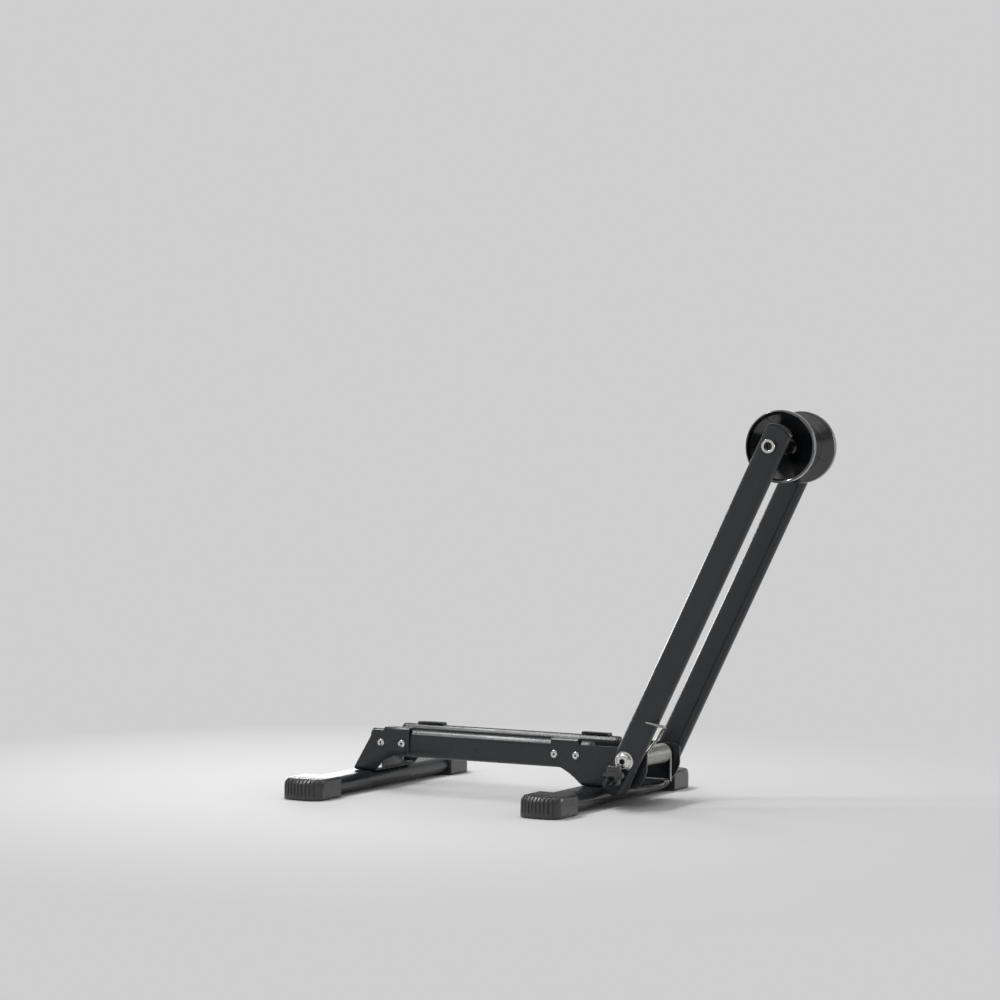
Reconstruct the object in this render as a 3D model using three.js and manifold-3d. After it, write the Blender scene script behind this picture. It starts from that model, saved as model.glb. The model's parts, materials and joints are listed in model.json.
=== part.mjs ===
// Folding floor rack: two sprung arms with a pair of V rollers, hinged on a riveted base with two feet.
// Millimetres, +Z up, +X towards the arms, +Y to the far side. The origin is on the floor,
// under the middle of the whole part.
import * as THREE from "three";
import { mergeVertices } from "three/addons/utils/BufferGeometryUtils.js";
import Module from "manifold-3d";

// ---------------------------------------------------------------- driving dimensions

// General
const SEAT_GAP = 0.3; // left between faces that touch
const RUNNING_GAP = 0.3; // radial play of what turns
const SHEET = 2.5; // bracket steel
const SHEET_BEND = 4.0; // outer radius of its folds
const TUBE_WIDTH = 30; // flat-oval tube of the arms and the base
const TUBE_DEPTH = 15;
const TUBE_WALL = 1.5;

// Feet
const FOOT_SPACING = 280; // front foot to rear foot
const FOOT_WIDTH = 40; // flat-oval foot tube
const FOOT_HEIGHT = 18;
const FOOT_LENGTH = 362;
const CAP_LENGTH = 54; // rubber end cap
const CAP_NOSE = 8; // rubber past the end of the tube
const CAP_FLOOR = 2.3;
const CAP_ROOF = 1.9;
const CAP_SIDE = 3.0;
const CAP_CORNER = 13.5; // upright corners of its nose
const CAP_CORNER_TURN = 75; // degrees that each corner turns, before the bulge between them
const CAP_BROW = 8.5; // nose to roof
const CAP_SHOULDER = 3.5; // sides to roof
const CAP_SKIRT = 2.4; // its lower edge is drawn in by this
const CAP_RIBS = 8;
const CAP_RIB_PITCH = 4.3;
const CAP_GROOVE = 1.7; // width of a groove between ribs
const CAP_GROOVE_DEPTH = 1.1;
const CAP_RIB_FOOT = 5; // height where the grooves start
const CAP_RIB_REACH = 26; // how far back the grooves run over the roof

// Base
const BASE_WIDTH = 96; // over the side plates
const BASE_TUBE_HEIGHT = 53; // centre line of the base tubes
const TUBE_PAST_RIVET_FRONT = 12.5; // tube ends, past the rivets next to them
const TUBE_PAST_RIVET_REAR = 11.5;
const FLANGE = 13; // folded over the tubes
const FLANGE_FRONT = -17; // where the folded flange stops, from its foot centre
const FLANGE_REAR = 29;
const PLATE_INNER_FRONT = -48.5; // ends of the side plates, from their foot centres
const PLATE_OUTER_FRONT = 64;
const PLATE_INNER_REAR = 59.5;
const PLATE_OUTER_REAR = 16.5; // upper corner
const PLATE_DROP = 27.5; // side plate beside the tubes
const PLATE_STEP = 6; // step from the flange down to the plain edge
const WEB_FRONT = -10; // inner end of the web on the foot, from its foot centre
const WEB_TONGUE = 8; // the web's front edge bows out by this, over this width
const WEB_TONGUE_WIDTH = 70;
const WEB_REAR = 18;
const WEB_REAR_END = -7.5; // outer end of the rear web
const PLATE_NOSE = 7; // rounded upper corner beyond the pivot
const PLATE_STEP_ROUND = 3; // inner corner at the foot of that step
const PLATE_CHIN_RISE = 21; // where the front edge starts to curve back, above the web's underside
const PLATE_CHIN_BACK = 3; // control point of that curve, from the front edge
const PLATE_CHIN_LOW = 8; // and above the web's underside
const PLATE_ARCH = 17; // control point of the front bracket's arch, back from the web and up
const PLATE_HEEL = 7; // rounded lower rear corner of the rear bracket
const PLATE_HEEL_RISE = 3;
const REAR_ARCH_LOW = 10; // control points of the rear bracket's arch, from the web's end
const REAR_ARCH_RISE = 15;
const REAR_ARCH_HIGH = 22;
const REAR_ARCH_DROP = 2; // its tube side lies lower than the front bracket's
const CRADLE_WIDTH = 46; // upright lip across the web
const CRADLE_HEIGHT = 22.5;
const CRADLE_DIP = 4; // hollow of its upper edge
const CRADLE_HORN = 5; // flat beside the hollow
const CRADLE_TAPER = 3; // each side leans in by this
const RIVET_PITCH = 25.5;
const RIVET_FRONT = -44; // first rivet, from the foot centre
const RIVET_REAR = 51;
const RIVET_HEAD = 8.3;
const RIVET_HEAD_HEIGHT = 1.2;
const RIVET_SHANK = 4.8;
const RIVET_BULB = 6.6;
const RIVET_EYE = 2.4;
const RIVET_EYE_DEPTH = 0.8;
const RIVET_TAIL = 4; // set bulb, past the tube wall
const FOOT_BOLT_FROM_SIDE = 10; // foot bolts, in from the outside of the plates
const FOOT_BOLT_OFFSET = 6; // ahead of the foot centre
const FOOT_BOLT = 6;
const FOOT_BOLT_LENGTH = 13;
const FOOT_BOLT_FLATS = 10;
const FOOT_BOLT_HEAD = 4;
const FOOT_BOLT_FLANGE = 12;
const FOOT_BOLT_FLANGE_HEIGHT = 1.2;
const INSERT_BODY = 9; // threaded insert in the foot tube
const INSERT_BULGE = 12;
const INSERT_LENGTH = 10;

// Pivot
const PIVOT_AHEAD = 45.5; // pivot, from the front foot centre
const PIVOT_HEIGHT = 52.3;
const PIVOT_BOLT = 8;
const PIVOT_HEAD = 20.6;
const PIVOT_HEAD_HEIGHT = 6.6;
const PIVOT_RIM = 1.6; // flat rim round the dome of the head
const PIVOT_DOME = 17;
const PIVOT_DOME_TOP = 10;
const PIVOT_SOCKET = 6; // across the flats
const PIVOT_NUT_FLATS = 13;
const PIVOT_NUT_FLANGE = 1.6;
const PIVOT_CAP = 1.6; // closed end of the nut
const PIVOT_SLEEVE = 14.6; // between the side plates
const BUSH_WALL = 1.8;
const BUSH_FLANGE = 19;
const ARM_TO_PLATE = 2.0; // gap taken up by the bush flange

// Torsion spring
const SPRING_WIRE = 3.0;
const SPRING_OUTSIDE = 22.4;
const SPRING_PITCH = 3.6;
const SPRING_END_ROOM = 8; // between the plates, left free by the curls
const SPRING_STEPS = 8; // per curl
const SPRING_SIDES = 5;
const SPRING_HOOK_RISE = 48.6; // end of the hook, above the pivot along the arm
const SPRING_HOOK_END = 4.6; // and from the arm's centre line
const SPRING_HOOK_CLIMB = 4.3; // from there up to the bend behind the arm
const SPRING_HOOK_STAND = 6; // the bend stands off the arm by this
const SPRING_SEAT = 0.5; // between the wire and what it bears on
const SPRING_FOOT_LEG = 30; // leg that bears on the edge of the web

// Arms
const ARM_LENGTH = 371.2; // pivot to roller axle
const ARM_TILT = 24.8; // degrees, from upright
const ARM_TAIL = 38.2; // tube below the pivot
const ARM_HEAD = 22.3; // tube above the axle
const ARM_END_ROUND = 20; // its ends are cut to this radius
const PLUG_RIM = 1.8; // plug, past the end of its tube
const PLUG_BASE = 4; // domed plugs of the base tubes
const PLUG_INSERT = 7;

// Rollers and their axle
const ROLLER_RADIUS = 38.4;
const ROLLER_OUTER = 36.5; // rim face, from the middle
const ROLLER_RIM_WIDTH = 9;
const ROLLER_RIM_ROUND = 2; // from the V to the rim, and from the rim to its face
const ROLLER_WAIST = 8.2;
const ROLLER_WAIST_LENGTH = 3.5;
const ROLLER_WALL = 2.6;
const ROLLER_HUB_END = 25.5;
const ROLLER_HUB_WALL = 1.2;
const ROLLER_RIBS = 6;
const ROLLER_RIB = 1.4;
const ROLLER_RIB_HEIGHT = 1.8; // low ribs inside the dish
const ROLLER_INNER_RING = 18; // inner radius of the raised rings on the V
const ROLLER_OUTER_RING = 27;
const ROLLER_RING_WIDTH = 3;
const ROLLER_STEP = 0.8; // their height
const ROLLER_SPLIT = 0.6; // between the two rollers
const AXLE = 8;
const AXLE_BUSH_WALL = 1.0;
const AXLE_SPACER = 10.8;
const AXLE_SCREW = 5;
const AXLE_SCREW_DEPTH = 14;
const AXLE_HEAD = 14.6;
const AXLE_HEAD_HEIGHT = 6.3;
const AXLE_SOCKET = 5;
const AXLE_DISH = 9; // sunk middle of the head, round its socket
const AXLE_DISH_DEPTH = 1.2;

// Lock knob
const KNOB_BELOW = 15.8; // below the pivot, along the arm
const KNOB_RADIUS = 11.6;
const KNOB_LOBES = 6;
const KNOB_LOBE_DEPTH = 2.8;
const KNOB_THICK = 9.5;
const KNOB_NECK = 9.4;
const KNOB_CLEAR = 0.5; // between its back and the pivot head beside it
const KNOB_EDGE = 1; // bevel of its edges
const KNOB_HUB = 13; // raised middle of its face
const KNOB_HUB_RISE = 0.8;
const KNOB_FACE = 2; // left in front of the stud
const KNOB_STUD = 6;
const KNOB_NUT_FLATS = 10;
const KNOB_NUT = 4;

// Facets
const ROUND = 20;
const FINE_ROUND = 28;
const SMALL_ROUND = 12;
const RIVET_ROUND = 10;
const OVAL_SEGMENTS = 5; // in each round side of a flat oval
const END_SEGMENTS = 6; // in each round arm end
const OUTLINE_SEGMENTS = 5; // in each curve of a side plate
const FOLD_SEGMENTS = 3;
const CORNER_SEGMENTS = 3;

// ---------------------------------------------------------------- derived places

const FOOT_BOTTOM = CAP_FLOOR + SEAT_GAP;
const FOOT_TOP = FOOT_BOTTOM + FOOT_HEIGHT;
const CAP_WIDTH = FOOT_WIDTH + 2 * (SEAT_GAP + CAP_SIDE);
const CAP_HEIGHT = FOOT_TOP + SEAT_GAP + CAP_ROOF;
const CAP_END = FOOT_LENGTH / 2 + SEAT_GAP + CAP_NOSE;
const WEB_BOTTOM = FOOT_TOP + SEAT_GAP;
const WEB_TOP = WEB_BOTTOM + SHEET;
const BRACKET_TOP = BASE_TUBE_HEIGHT + TUBE_WIDTH / 2 + SEAT_GAP + SHEET;
const PLATE_OUTSIDE = BASE_WIDTH / 2;
const PLATE_INSIDE = PLATE_OUTSIDE - SHEET;
const BASE_TUBE_Y = PLATE_INSIDE - SEAT_GAP - TUBE_DEPTH / 2;
const BASE_TUBE_FRONT = RIVET_FRONT + RIVET_PITCH + TUBE_PAST_RIVET_FRONT;
const BASE_TUBE_START = -FOOT_SPACING + RIVET_REAR - RIVET_PITCH - TUBE_PAST_RIVET_REAR;
const ARM_INSIDE = PLATE_OUTSIDE + ARM_TO_PLATE;
const ARM_Y = ARM_INSIDE + TUBE_DEPTH / 2;
const ARM_OUTSIDE = ARM_INSIDE + TUBE_DEPTH;
const TILT = THREE.MathUtils.degToRad(ARM_TILT);
const FOOT_BOLT_Y = PLATE_OUTSIDE - FOOT_BOLT_FROM_SIDE;
const SPRING_RADIUS = (SPRING_OUTSIDE - SPRING_WIRE) / 2;
const SPRING_CURLS = Math.floor((2 * PLATE_INSIDE - SPRING_END_ROOM) / SPRING_PITCH);
const WEB_FRONT_END = PIVOT_AHEAD + SPRING_RADIUS - SPRING_WIRE / 2 - SPRING_SEAT;
const BUSH_OUTSIDE = PIVOT_BOLT / 2 + RUNNING_GAP + BUSH_WALL;
const AXLE_BUSH_OUTSIDE = AXLE / 2 + RUNNING_GAP + AXLE_BUSH_WALL;
const ROLLER_BORE = AXLE_BUSH_OUTSIDE + SEAT_GAP;
const REACH_FRONT = PIVOT_AHEAD + ARM_LENGTH * Math.sin(TILT) + ROLLER_RADIUS;
const REACH_REAR = -FOOT_SPACING - CAP_WIDTH / 2;
const FRONT_FOOT_X = -(REACH_FRONT + REACH_REAR) / 2;
const KNOB_BACK = ARM_OUTSIDE + SEAT_GAP + PIVOT_HEAD_HEIGHT + KNOB_CLEAR;
const NEAR = -1;
const FAR = 1;

// ---------------------------------------------------------------- finishes

const finish = (color, roughness, metalness) => new THREE.MeshStandardMaterial({ color, roughness, metalness });
const powderCoat = finish(0x1b1c1e, 0.45, 0.2);
const rubber = finish(0x2a2b2d, 0.85, 0);
const glossPlastic = finish(0x101114, 0.35, 0);
const nylon = finish(0x151515, 0.6, 0);
const zinc = finish(0xb9bcc0, 0.35, 0.9);
const nickel = finish(0xc9cbcf, 0.25, 0.95);
const bronze = finish(0xa07a4a, 0.5, 0.8);

// ---------------------------------------------------------------- solids

const wasm = await Module();
wasm.setup();

// A closed geometry, moved by a matrix, as a solid whose faces point out.
function solid(geometry, matrix = new THREE.Matrix4()) {
  const merged = mergeVertices(positionsOnly(geometry).applyMatrix4(matrix), 1e-3);
  const vertProperties = new Float32Array(merged.attributes.position.array);
  const triVerts = closedTriangles(merged);
  if (signedVolume(vertProperties, triVerts) < 0) flip(triVerts);
  return new wasm.Manifold(new wasm.Mesh({ numProp: 3, vertProperties, triVerts }));
}

function positionsOnly(geometry) {
  const bare = new THREE.BufferGeometry();
  bare.setAttribute("position", geometry.attributes.position.clone());
  if (geometry.index) bare.setIndex(geometry.index.clone());
  return bare;
}

// Triangles that merging left with two corners in one place have no area and are left out.
function closedTriangles(geometry) {
  const kept = [];
  const index = geometry.index.array;
  for (let i = 0; i < index.length; i += 3) {
    const [a, b, c] = [index[i], index[i + 1], index[i + 2]];
    if (a !== b && b !== c && c !== a) kept.push(a, b, c);
  }
  return new Uint32Array(kept);
}

function signedVolume(positions, triangles) {
  const [a, b, c] = [new THREE.Vector3(), new THREE.Vector3(), new THREE.Vector3()];
  let volume = 0;
  for (let i = 0; i < triangles.length; i += 3) {
    a.fromArray(positions, 3 * triangles[i]);
    b.fromArray(positions, 3 * triangles[i + 1]);
    c.fromArray(positions, 3 * triangles[i + 2]);
    volume += a.dot(b.cross(c)) / 6;
  }
  return volume;
}

function flip(triangles) {
  for (let i = 0; i < triangles.length; i += 3) {
    [triangles[i], triangles[i + 1]] = [triangles[i + 1], triangles[i]];
  }
}

function geometryOf(manifold) {
  const { vertProperties, triVerts } = manifold.getMesh();
  const geometry = new THREE.BufferGeometry();
  geometry.setAttribute("position", new THREE.BufferAttribute(new Float32Array(vertProperties), 3));
  geometry.setIndex(new THREE.BufferAttribute(new Uint32Array(triVerts), 1));
  geometry.computeVertexNormals();
  return geometry;
}

function piece(name, manifold, material) {
  const mesh = new THREE.Mesh(geometryOf(manifold), material);
  mesh.name = name;
  return mesh;
}

const union = (solids) => solids.reduce((whole, next) => whole.add(next));
const cut = (body, cutters) => cutters.reduce((rest, cutter) => rest.subtract(cutter), body);
const moved = (x, y, z) => new THREE.Matrix4().makeTranslation(x, y, z);
const ordered = (a, b) => [Math.min(a, b), Math.max(a, b)];

// Axis swaps: an outline drawn flat and extruded along its own Z.
const ALONG_X = new THREE.Matrix4().makeBasis(
  new THREE.Vector3(0, 1, 0), new THREE.Vector3(0, 0, 1), new THREE.Vector3(1, 0, 0));
const ALONG_Y = new THREE.Matrix4().makeBasis(
  new THREE.Vector3(1, 0, 0), new THREE.Vector3(0, 0, 1), new THREE.Vector3(0, -1, 0));

// An outline extruded by length about its middle, turned by a swap, then moved.
function prism(outline, length, swap = new THREE.Matrix4(), at = [0, 0, 0], curveSegments = CORNER_SEGMENTS) {
  const geometry = new THREE.ExtrudeGeometry(outline, { depth: length, bevelEnabled: false, curveSegments });
  geometry.translate(0, 0, -length / 2);
  return solid(geometry, moved(...at).multiply(swap));
}

function box(width, depth, height, x, y, z) {
  return solid(new THREE.BoxGeometry(width, depth, height), moved(x, y, z));
}

// Points [radius, y] turned about the Y axis. The profile starts and ends on the axis,
// or is a ring when it doesn't.
function turned(profile, segments = ROUND, at = [0, 0, 0], turn = new THREE.Matrix4()) {
  const points = profile.map(([radius, y]) => new THREE.Vector2(radius, y));
  const onAxis = profile[0][0] === 0;
  if (!onAxis) points.push(points[0].clone());
  return solid(new THREE.LatheGeometry(points, segments), moved(...at).multiply(turn));
}

// A plain pin or drill along Y, between two values of y.
function pin(radius, y0, y1, x = 0, z = 0, segments = ROUND) {
  return turned([[0, y0], [radius, y0], [radius, y1], [0, y1]], segments, [x, 0, z]);
}

function ring(inner, outer, y0, y1, x = 0, z = 0, segments = ROUND) {
  return turned([[inner, y0], [outer, y0], [outer, y1], [inner, y1]], segments, [x, 0, z]);
}

// Points [radius, z] turned about an upright axis.
const UPRIGHT = new THREE.Matrix4().makeRotationX(Math.PI / 2);
function upright(profile, x, y) {
  return turned(profile, SMALL_ROUND, [x, y, 0], UPRIGHT);
}

function uprightPin(radius, z0, z1, x, y) {
  return upright([[0, z0], [radius, z0], [radius, z1], [0, z1]], x, y);
}

// A hexagon across its flats, as an outline.
function hexagon(flats) {
  const outline = new THREE.Shape();
  for (let corner = 0; corner < 6; corner++) {
    const angle = (corner + 0.5) * Math.PI / 3;
    const reach = flats / 2 / Math.cos(Math.PI / 6);
    outline[corner ? "lineTo" : "moveTo"](reach * Math.cos(angle), reach * Math.sin(angle));
  }
  return outline;
}

// A flat oval, long along x.
function oval(width, depth) {
  const outline = new THREE.Shape();
  const radius = depth / 2;
  const straight = width / 2 - radius;
  outline.moveTo(-straight, -radius);
  outline.lineTo(straight, -radius);
  outline.absarc(straight, 0, radius, -Math.PI / 2, Math.PI / 2, false);
  outline.lineTo(-straight, radius);
  outline.absarc(-straight, 0, radius, Math.PI / 2, 3 * Math.PI / 2, false);
  return outline;
}

function ovalTube(width, depth, length, swap, at) {
  const outline = oval(width, depth);
  outline.holes.push(oval(width - 2 * TUBE_WALL, depth - 2 * TUBE_WALL));
  return prism(outline, length, swap, at, OVAL_SEGMENTS);
}

// Rings of points joined side to side, closed at both ends.
function loft(rings) {
  const count = rings[0].length;
  const positions = rings.flat().flatMap((point) => point.toArray());
  const index = [];
  for (let row = 0; row + 1 < rings.length; row++) {
    for (let i = 0; i < count; i++) {
      const [a, b] = [row * count + i, row * count + (i + 1) % count];
      index.push(a, b, b + count, a, b + count, a + count);
    }
  }
  for (let i = 1; i + 1 < count; i++) {
    const last = (rings.length - 1) * count;
    index.push(0, i + 1, i, last, last + i, last + i + 1);
  }
  const geometry = new THREE.BufferGeometry();
  geometry.setAttribute("position", new THREE.Float32BufferAttribute(positions, 3));
  geometry.setIndex(index);
  return geometry;
}

// ---------------------------------------------------------------- feet

// The outer form of an end cap, shrunk on every side by inset. Its nose points along +Y.
function capForm(inset) {
  const half = CAP_WIDTH / 2 - inset;
  const nose = CAP_END - inset;
  const back = CAP_END - CAP_LENGTH;
  const roof = CAP_HEIGHT - inset;
  const corner = CAP_CORNER - inset;
  const turn = THREE.MathUtils.degToRad(CAP_CORNER_TURN);
  const centre = half - corner;
  const bulge = (centre + corner * Math.cos(turn)) / Math.tan(turn);
  const shoulder = nose - corner * Math.sin(turn) - bulge / 2;
  const plan = new THREE.Shape();
  plan.moveTo(-half, back);
  plan.lineTo(half, back);
  plan.absarc(centre, shoulder, corner, 0, turn, false);
  plan.quadraticCurveTo(0, nose + bulge / 2, -centre - corner * Math.cos(turn), nose - bulge / 2);
  plan.absarc(-centre, shoulder, corner, Math.PI - turn, Math.PI, false);
  const side = new THREE.Shape();
  side.moveTo(back, 0);
  side.lineTo(nose - CAP_SKIRT, 0);
  side.lineTo(nose + 2, CAP_SKIRT + 2);
  side.lineTo(nose + 2, roof - CAP_BROW);
  side.lineTo(nose, roof - CAP_BROW);
  side.absarc(nose - CAP_BROW, roof - CAP_BROW, CAP_BROW, 0, Math.PI / 2, false);
  side.lineTo(back, roof);
  const front = new THREE.Shape();
  front.moveTo(-half + CAP_SKIRT, 0);
  front.lineTo(half - CAP_SKIRT, 0);
  front.lineTo(half, CAP_SKIRT);
  front.lineTo(half, roof - CAP_SHOULDER);
  front.absarc(half - CAP_SHOULDER, roof - CAP_SHOULDER, CAP_SHOULDER, 0, Math.PI / 2, false);
  front.lineTo(-half + CAP_SHOULDER, roof);
  front.absarc(-half + CAP_SHOULDER, roof - CAP_SHOULDER, CAP_SHOULDER, Math.PI / 2, Math.PI, false);
  front.lineTo(-half, CAP_SKIRT);
  const over = 4 * CAP_END;
  return prism(plan, over).intersect(prism(side, over, ALONG_X)).intersect(prism(front, over, ALONG_Y));
}

// The grooves between its ribs run up the nose and back over the roof.
function footCap(name, end) {
  const core = capForm(CAP_GROOVE_DEPTH);
  const slabHeight = 2 * CAP_HEIGHT;
  const slabLength = 2 * CAP_RIB_REACH;
  const slabZ = CAP_RIB_FOOT + slabHeight / 2;
  let body = capForm(0);
  for (let i = 0; i <= CAP_RIBS; i++) {
    const x = (i - CAP_RIBS / 2) * CAP_RIB_PITCH;
    body = body.subtract(box(CAP_GROOVE, slabLength, slabHeight, x, CAP_END, slabZ).subtract(core));
  }
  const socketDepth = CAP_LENGTH - CAP_NOSE;
  const socket = prism(oval(FOOT_WIDTH + 2 * SEAT_GAP, FOOT_HEIGHT + 2 * SEAT_GAP), socketDepth + 2, ALONG_Y,
    [0, CAP_END - CAP_NOSE - socketDepth / 2 - 1, FOOT_BOTTOM + FOOT_HEIGHT / 2], OVAL_SEGMENTS);
  const mesh = piece(name, body.subtract(socket), rubber);
  if (end === NEAR) mesh.rotation.z = Math.PI;
  return mesh;
}

const footBoltPlaces = [NEAR, FAR].map((side) => [FOOT_BOLT_OFFSET, side * FOOT_BOLT_Y]);

// Holes in the top of the tube take the threaded inserts.
function footTube(name) {
  const tube = ovalTube(FOOT_WIDTH, FOOT_HEIGHT, FOOT_LENGTH, ALONG_Y, [0, 0, FOOT_BOTTOM + FOOT_HEIGHT / 2]);
  const holes = footBoltPlaces.map(([x, y]) => uprightPin(
    INSERT_BODY / 2 + SEAT_GAP, FOOT_TOP - 2 * TUBE_WALL, FOOT_TOP + 1, x, y));
  return piece(name, cut(tube, holes), powderCoat);
}

// ---------------------------------------------------------------- brackets

// The folded section of a bracket: web below, two sides, two flanges folded inwards at the top.
function channel() {
  const w = PLATE_OUTSIDE;
  const r = SHEET_BEND;
  const t = SHEET;
  const [bottom, top] = [WEB_BOTTOM, BRACKET_TOP];
  const quarter = Math.PI / 2;
  const outline = new THREE.Shape();
  outline.moveTo(-w + FLANGE, top);
  outline.absarc(-w + r, top - r, r, quarter, 2 * quarter, false);
  outline.absarc(-w + r, bottom + r, r, 2 * quarter, 3 * quarter, false);
  outline.absarc(w - r, bottom + r, r, 3 * quarter, 4 * quarter, false);
  outline.absarc(w - r, top - r, r, 0, quarter, false);
  outline.lineTo(w - FLANGE, top);
  outline.lineTo(w - FLANGE, top - t);
  outline.absarc(w - r, top - r, r - t, quarter, 0, true);
  outline.absarc(w - r, bottom + r, r - t, 0, -quarter, true);
  outline.absarc(-w + r, bottom + r, r - t, 3 * quarter, 2 * quarter, true);
  outline.absarc(-w + r, top - r, r - t, 2 * quarter, quarter, true);
  outline.lineTo(-w + FLANGE, top - t);
  return outline;
}

// The side view of the front bracket, from the front foot centre.
function frontOutline() {
  const tubeSide = BRACKET_TOP - PLATE_DROP;
  const low = BRACKET_TOP - PLATE_STEP;
  const step = PLATE_STEP_ROUND;
  const chin = [PLATE_OUTER_FRONT - PLATE_CHIN_BACK, WEB_BOTTOM + PLATE_CHIN_LOW];
  const outline = new THREE.Shape();
  outline.moveTo(PLATE_INNER_FRONT, tubeSide);
  outline.lineTo(PLATE_INNER_FRONT, BRACKET_TOP + 1);
  outline.lineTo(FLANGE_FRONT, BRACKET_TOP + 1);
  outline.lineTo(FLANGE_FRONT, low + step);
  outline.absarc(FLANGE_FRONT + step, low + step, step, Math.PI, 1.5 * Math.PI, false);
  outline.absarc(PLATE_OUTER_FRONT - PLATE_NOSE, low - PLATE_NOSE, PLATE_NOSE, Math.PI / 2, 0, true);
  outline.lineTo(PLATE_OUTER_FRONT, WEB_BOTTOM + PLATE_CHIN_RISE);
  outline.quadraticCurveTo(...chin, WEB_FRONT_END, WEB_TOP);
  outline.lineTo(WEB_FRONT_END - SHEET, WEB_BOTTOM - 1);
  outline.lineTo(WEB_FRONT, WEB_BOTTOM - 1);
  outline.quadraticCurveTo(WEB_FRONT - PLATE_ARCH, WEB_BOTTOM + PLATE_ARCH, PLATE_INNER_FRONT, tubeSide);
  return outline;
}

// The side view of the rear bracket, from the rear foot centre.
function rearOutline() {
  const tubeSide = BRACKET_TOP - PLATE_DROP - REAR_ARCH_DROP;
  const low = BRACKET_TOP - SHEET_BEND;
  const archLow = [WEB_REAR + REAR_ARCH_LOW, WEB_BOTTOM + REAR_ARCH_RISE];
  const archHigh = [WEB_REAR + REAR_ARCH_HIGH, tubeSide];
  const outline = new THREE.Shape();
  outline.moveTo(WEB_REAR_END, WEB_BOTTOM + PLATE_HEEL_RISE);
  outline.quadraticCurveTo(WEB_REAR_END, WEB_BOTTOM - 1, WEB_REAR_END + PLATE_HEEL, WEB_BOTTOM - 1);
  outline.lineTo(WEB_REAR, WEB_BOTTOM - 1);
  outline.bezierCurveTo(...archLow, ...archHigh, PLATE_INNER_REAR, tubeSide);
  outline.lineTo(PLATE_INNER_REAR, BRACKET_TOP + 1);
  outline.lineTo(FLANGE_REAR, BRACKET_TOP + 1);
  outline.lineTo(FLANGE_REAR, low);
  outline.lineTo(PLATE_OUTER_REAR, low);
  return outline;
}

// The upright lip at the web's inner edge, hollowed on top.
function cradle(x) {
  const half = CRADLE_WIDTH / 2;
  const shoulder = half - CRADLE_TAPER;
  const hollow = shoulder - CRADLE_HORN;
  const top = WEB_BOTTOM + CRADLE_HEIGHT;
  const outline = new THREE.Shape();
  outline.moveTo(-half, WEB_BOTTOM + SHEET / 2);
  outline.lineTo(half, WEB_BOTTOM + SHEET / 2);
  outline.lineTo(shoulder, top);
  outline.lineTo(hollow, top);
  outline.quadraticCurveTo(0, top - 2 * CRADLE_DIP, -hollow, top);
  outline.lineTo(-shoulder, top);
  return prism(outline, SHEET, ALONG_X, [x, 0, 0]);
}

// The bowed front edge of the web, between the folds.
function tongue() {
  const half = WEB_TONGUE_WIDTH / 2;
  const back = WEB_FRONT_END - SHEET_BEND;
  const outline = new THREE.Shape();
  outline.moveTo(back, -half);
  outline.quadraticCurveTo(2 * (WEB_FRONT_END + WEB_TONGUE) - back, 0, back, half);
  return prism(outline, SHEET, undefined, [0, 0, WEB_BOTTOM + SHEET / 2], OUTLINE_SEGMENTS);
}

function rivetHoles(places) {
  const radius = RIVET_SHANK / 2 + SEAT_GAP;
  return places.map((x) => pin(radius, -BASE_WIDTH, BASE_WIDTH, x, BASE_TUBE_HEIGHT, SMALL_ROUND));
}

const frontRivets = [RIVET_FRONT, RIVET_FRONT + RIVET_PITCH];
const rearRivets = [RIVET_REAR, RIVET_REAR - RIVET_PITCH];

function webHoles() {
  const radius = FOOT_BOLT / 2 + SEAT_GAP;
  return footBoltPlaces.map(([x, y]) => uprightPin(radius, WEB_BOTTOM - 1, WEB_TOP + 1, x, y));
}

function bracket(name, outline, additions, holes) {
  const folded = prism(channel(), 4 * FOOT_SPACING, ALONG_X, [0, 0, 0], FOLD_SEGMENTS);
  const sides = prism(outline, 2 * BASE_WIDTH, ALONG_Y, [0, 0, 0], OUTLINE_SEGMENTS);
  return piece(name, cut(union([folded.intersect(sides), ...additions]), holes), powderCoat);
}

function frontBracket() {
  const pivotHole = pin(PIVOT_BOLT / 2 + SEAT_GAP, -BASE_WIDTH, BASE_WIDTH, PIVOT_AHEAD, PIVOT_HEIGHT);
  const additions = [cradle(WEB_FRONT - SHEET / 2 + SHEET_BEND), tongue()];
  const holes = [pivotHole, ...rivetHoles(frontRivets), ...webHoles()];
  return bracket("front_bracket", frontOutline(), additions, holes);
}

function rearBracket() {
  const additions = [cradle(WEB_REAR + SHEET / 2 - SHEET_BEND)];
  return bracket("rear_bracket", rearOutline(), additions, [...rivetHoles(rearRivets), ...webHoles()]);
}

// ---------------------------------------------------------------- base tubes and fasteners

const BASE_TUBE_LENGTH = BASE_TUBE_FRONT - BASE_TUBE_START;

function baseTube(name, side) {
  const middle = (BASE_TUBE_START + BASE_TUBE_FRONT) / 2;
  const standing = new THREE.Matrix4().makeRotationY(Math.PI / 2);
  const tube = ovalTube(TUBE_WIDTH, TUBE_DEPTH, BASE_TUBE_LENGTH, standing,
    [middle, side * BASE_TUBE_Y, BASE_TUBE_HEIGHT]);
  const outerWall = ordered(side * BASE_TUBE_Y, side * PLATE_OUTSIDE);
  const places = [...frontRivets, ...rearRivets.map((x) => x - FOOT_SPACING)];
  const radius = RIVET_SHANK / 2 + SEAT_GAP;
  const holes = places.map((x) => pin(radius, ...outerWall, x, BASE_TUBE_HEIGHT, SMALL_ROUND));
  return piece(name, cut(tube, holes), powderCoat);
}

const PLUG_FIT = TUBE_WALL + SEAT_GAP;
const plugStem = () => oval(TUBE_WIDTH - 2 * PLUG_FIT, TUBE_DEPTH - 2 * PLUG_FIT);

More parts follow.
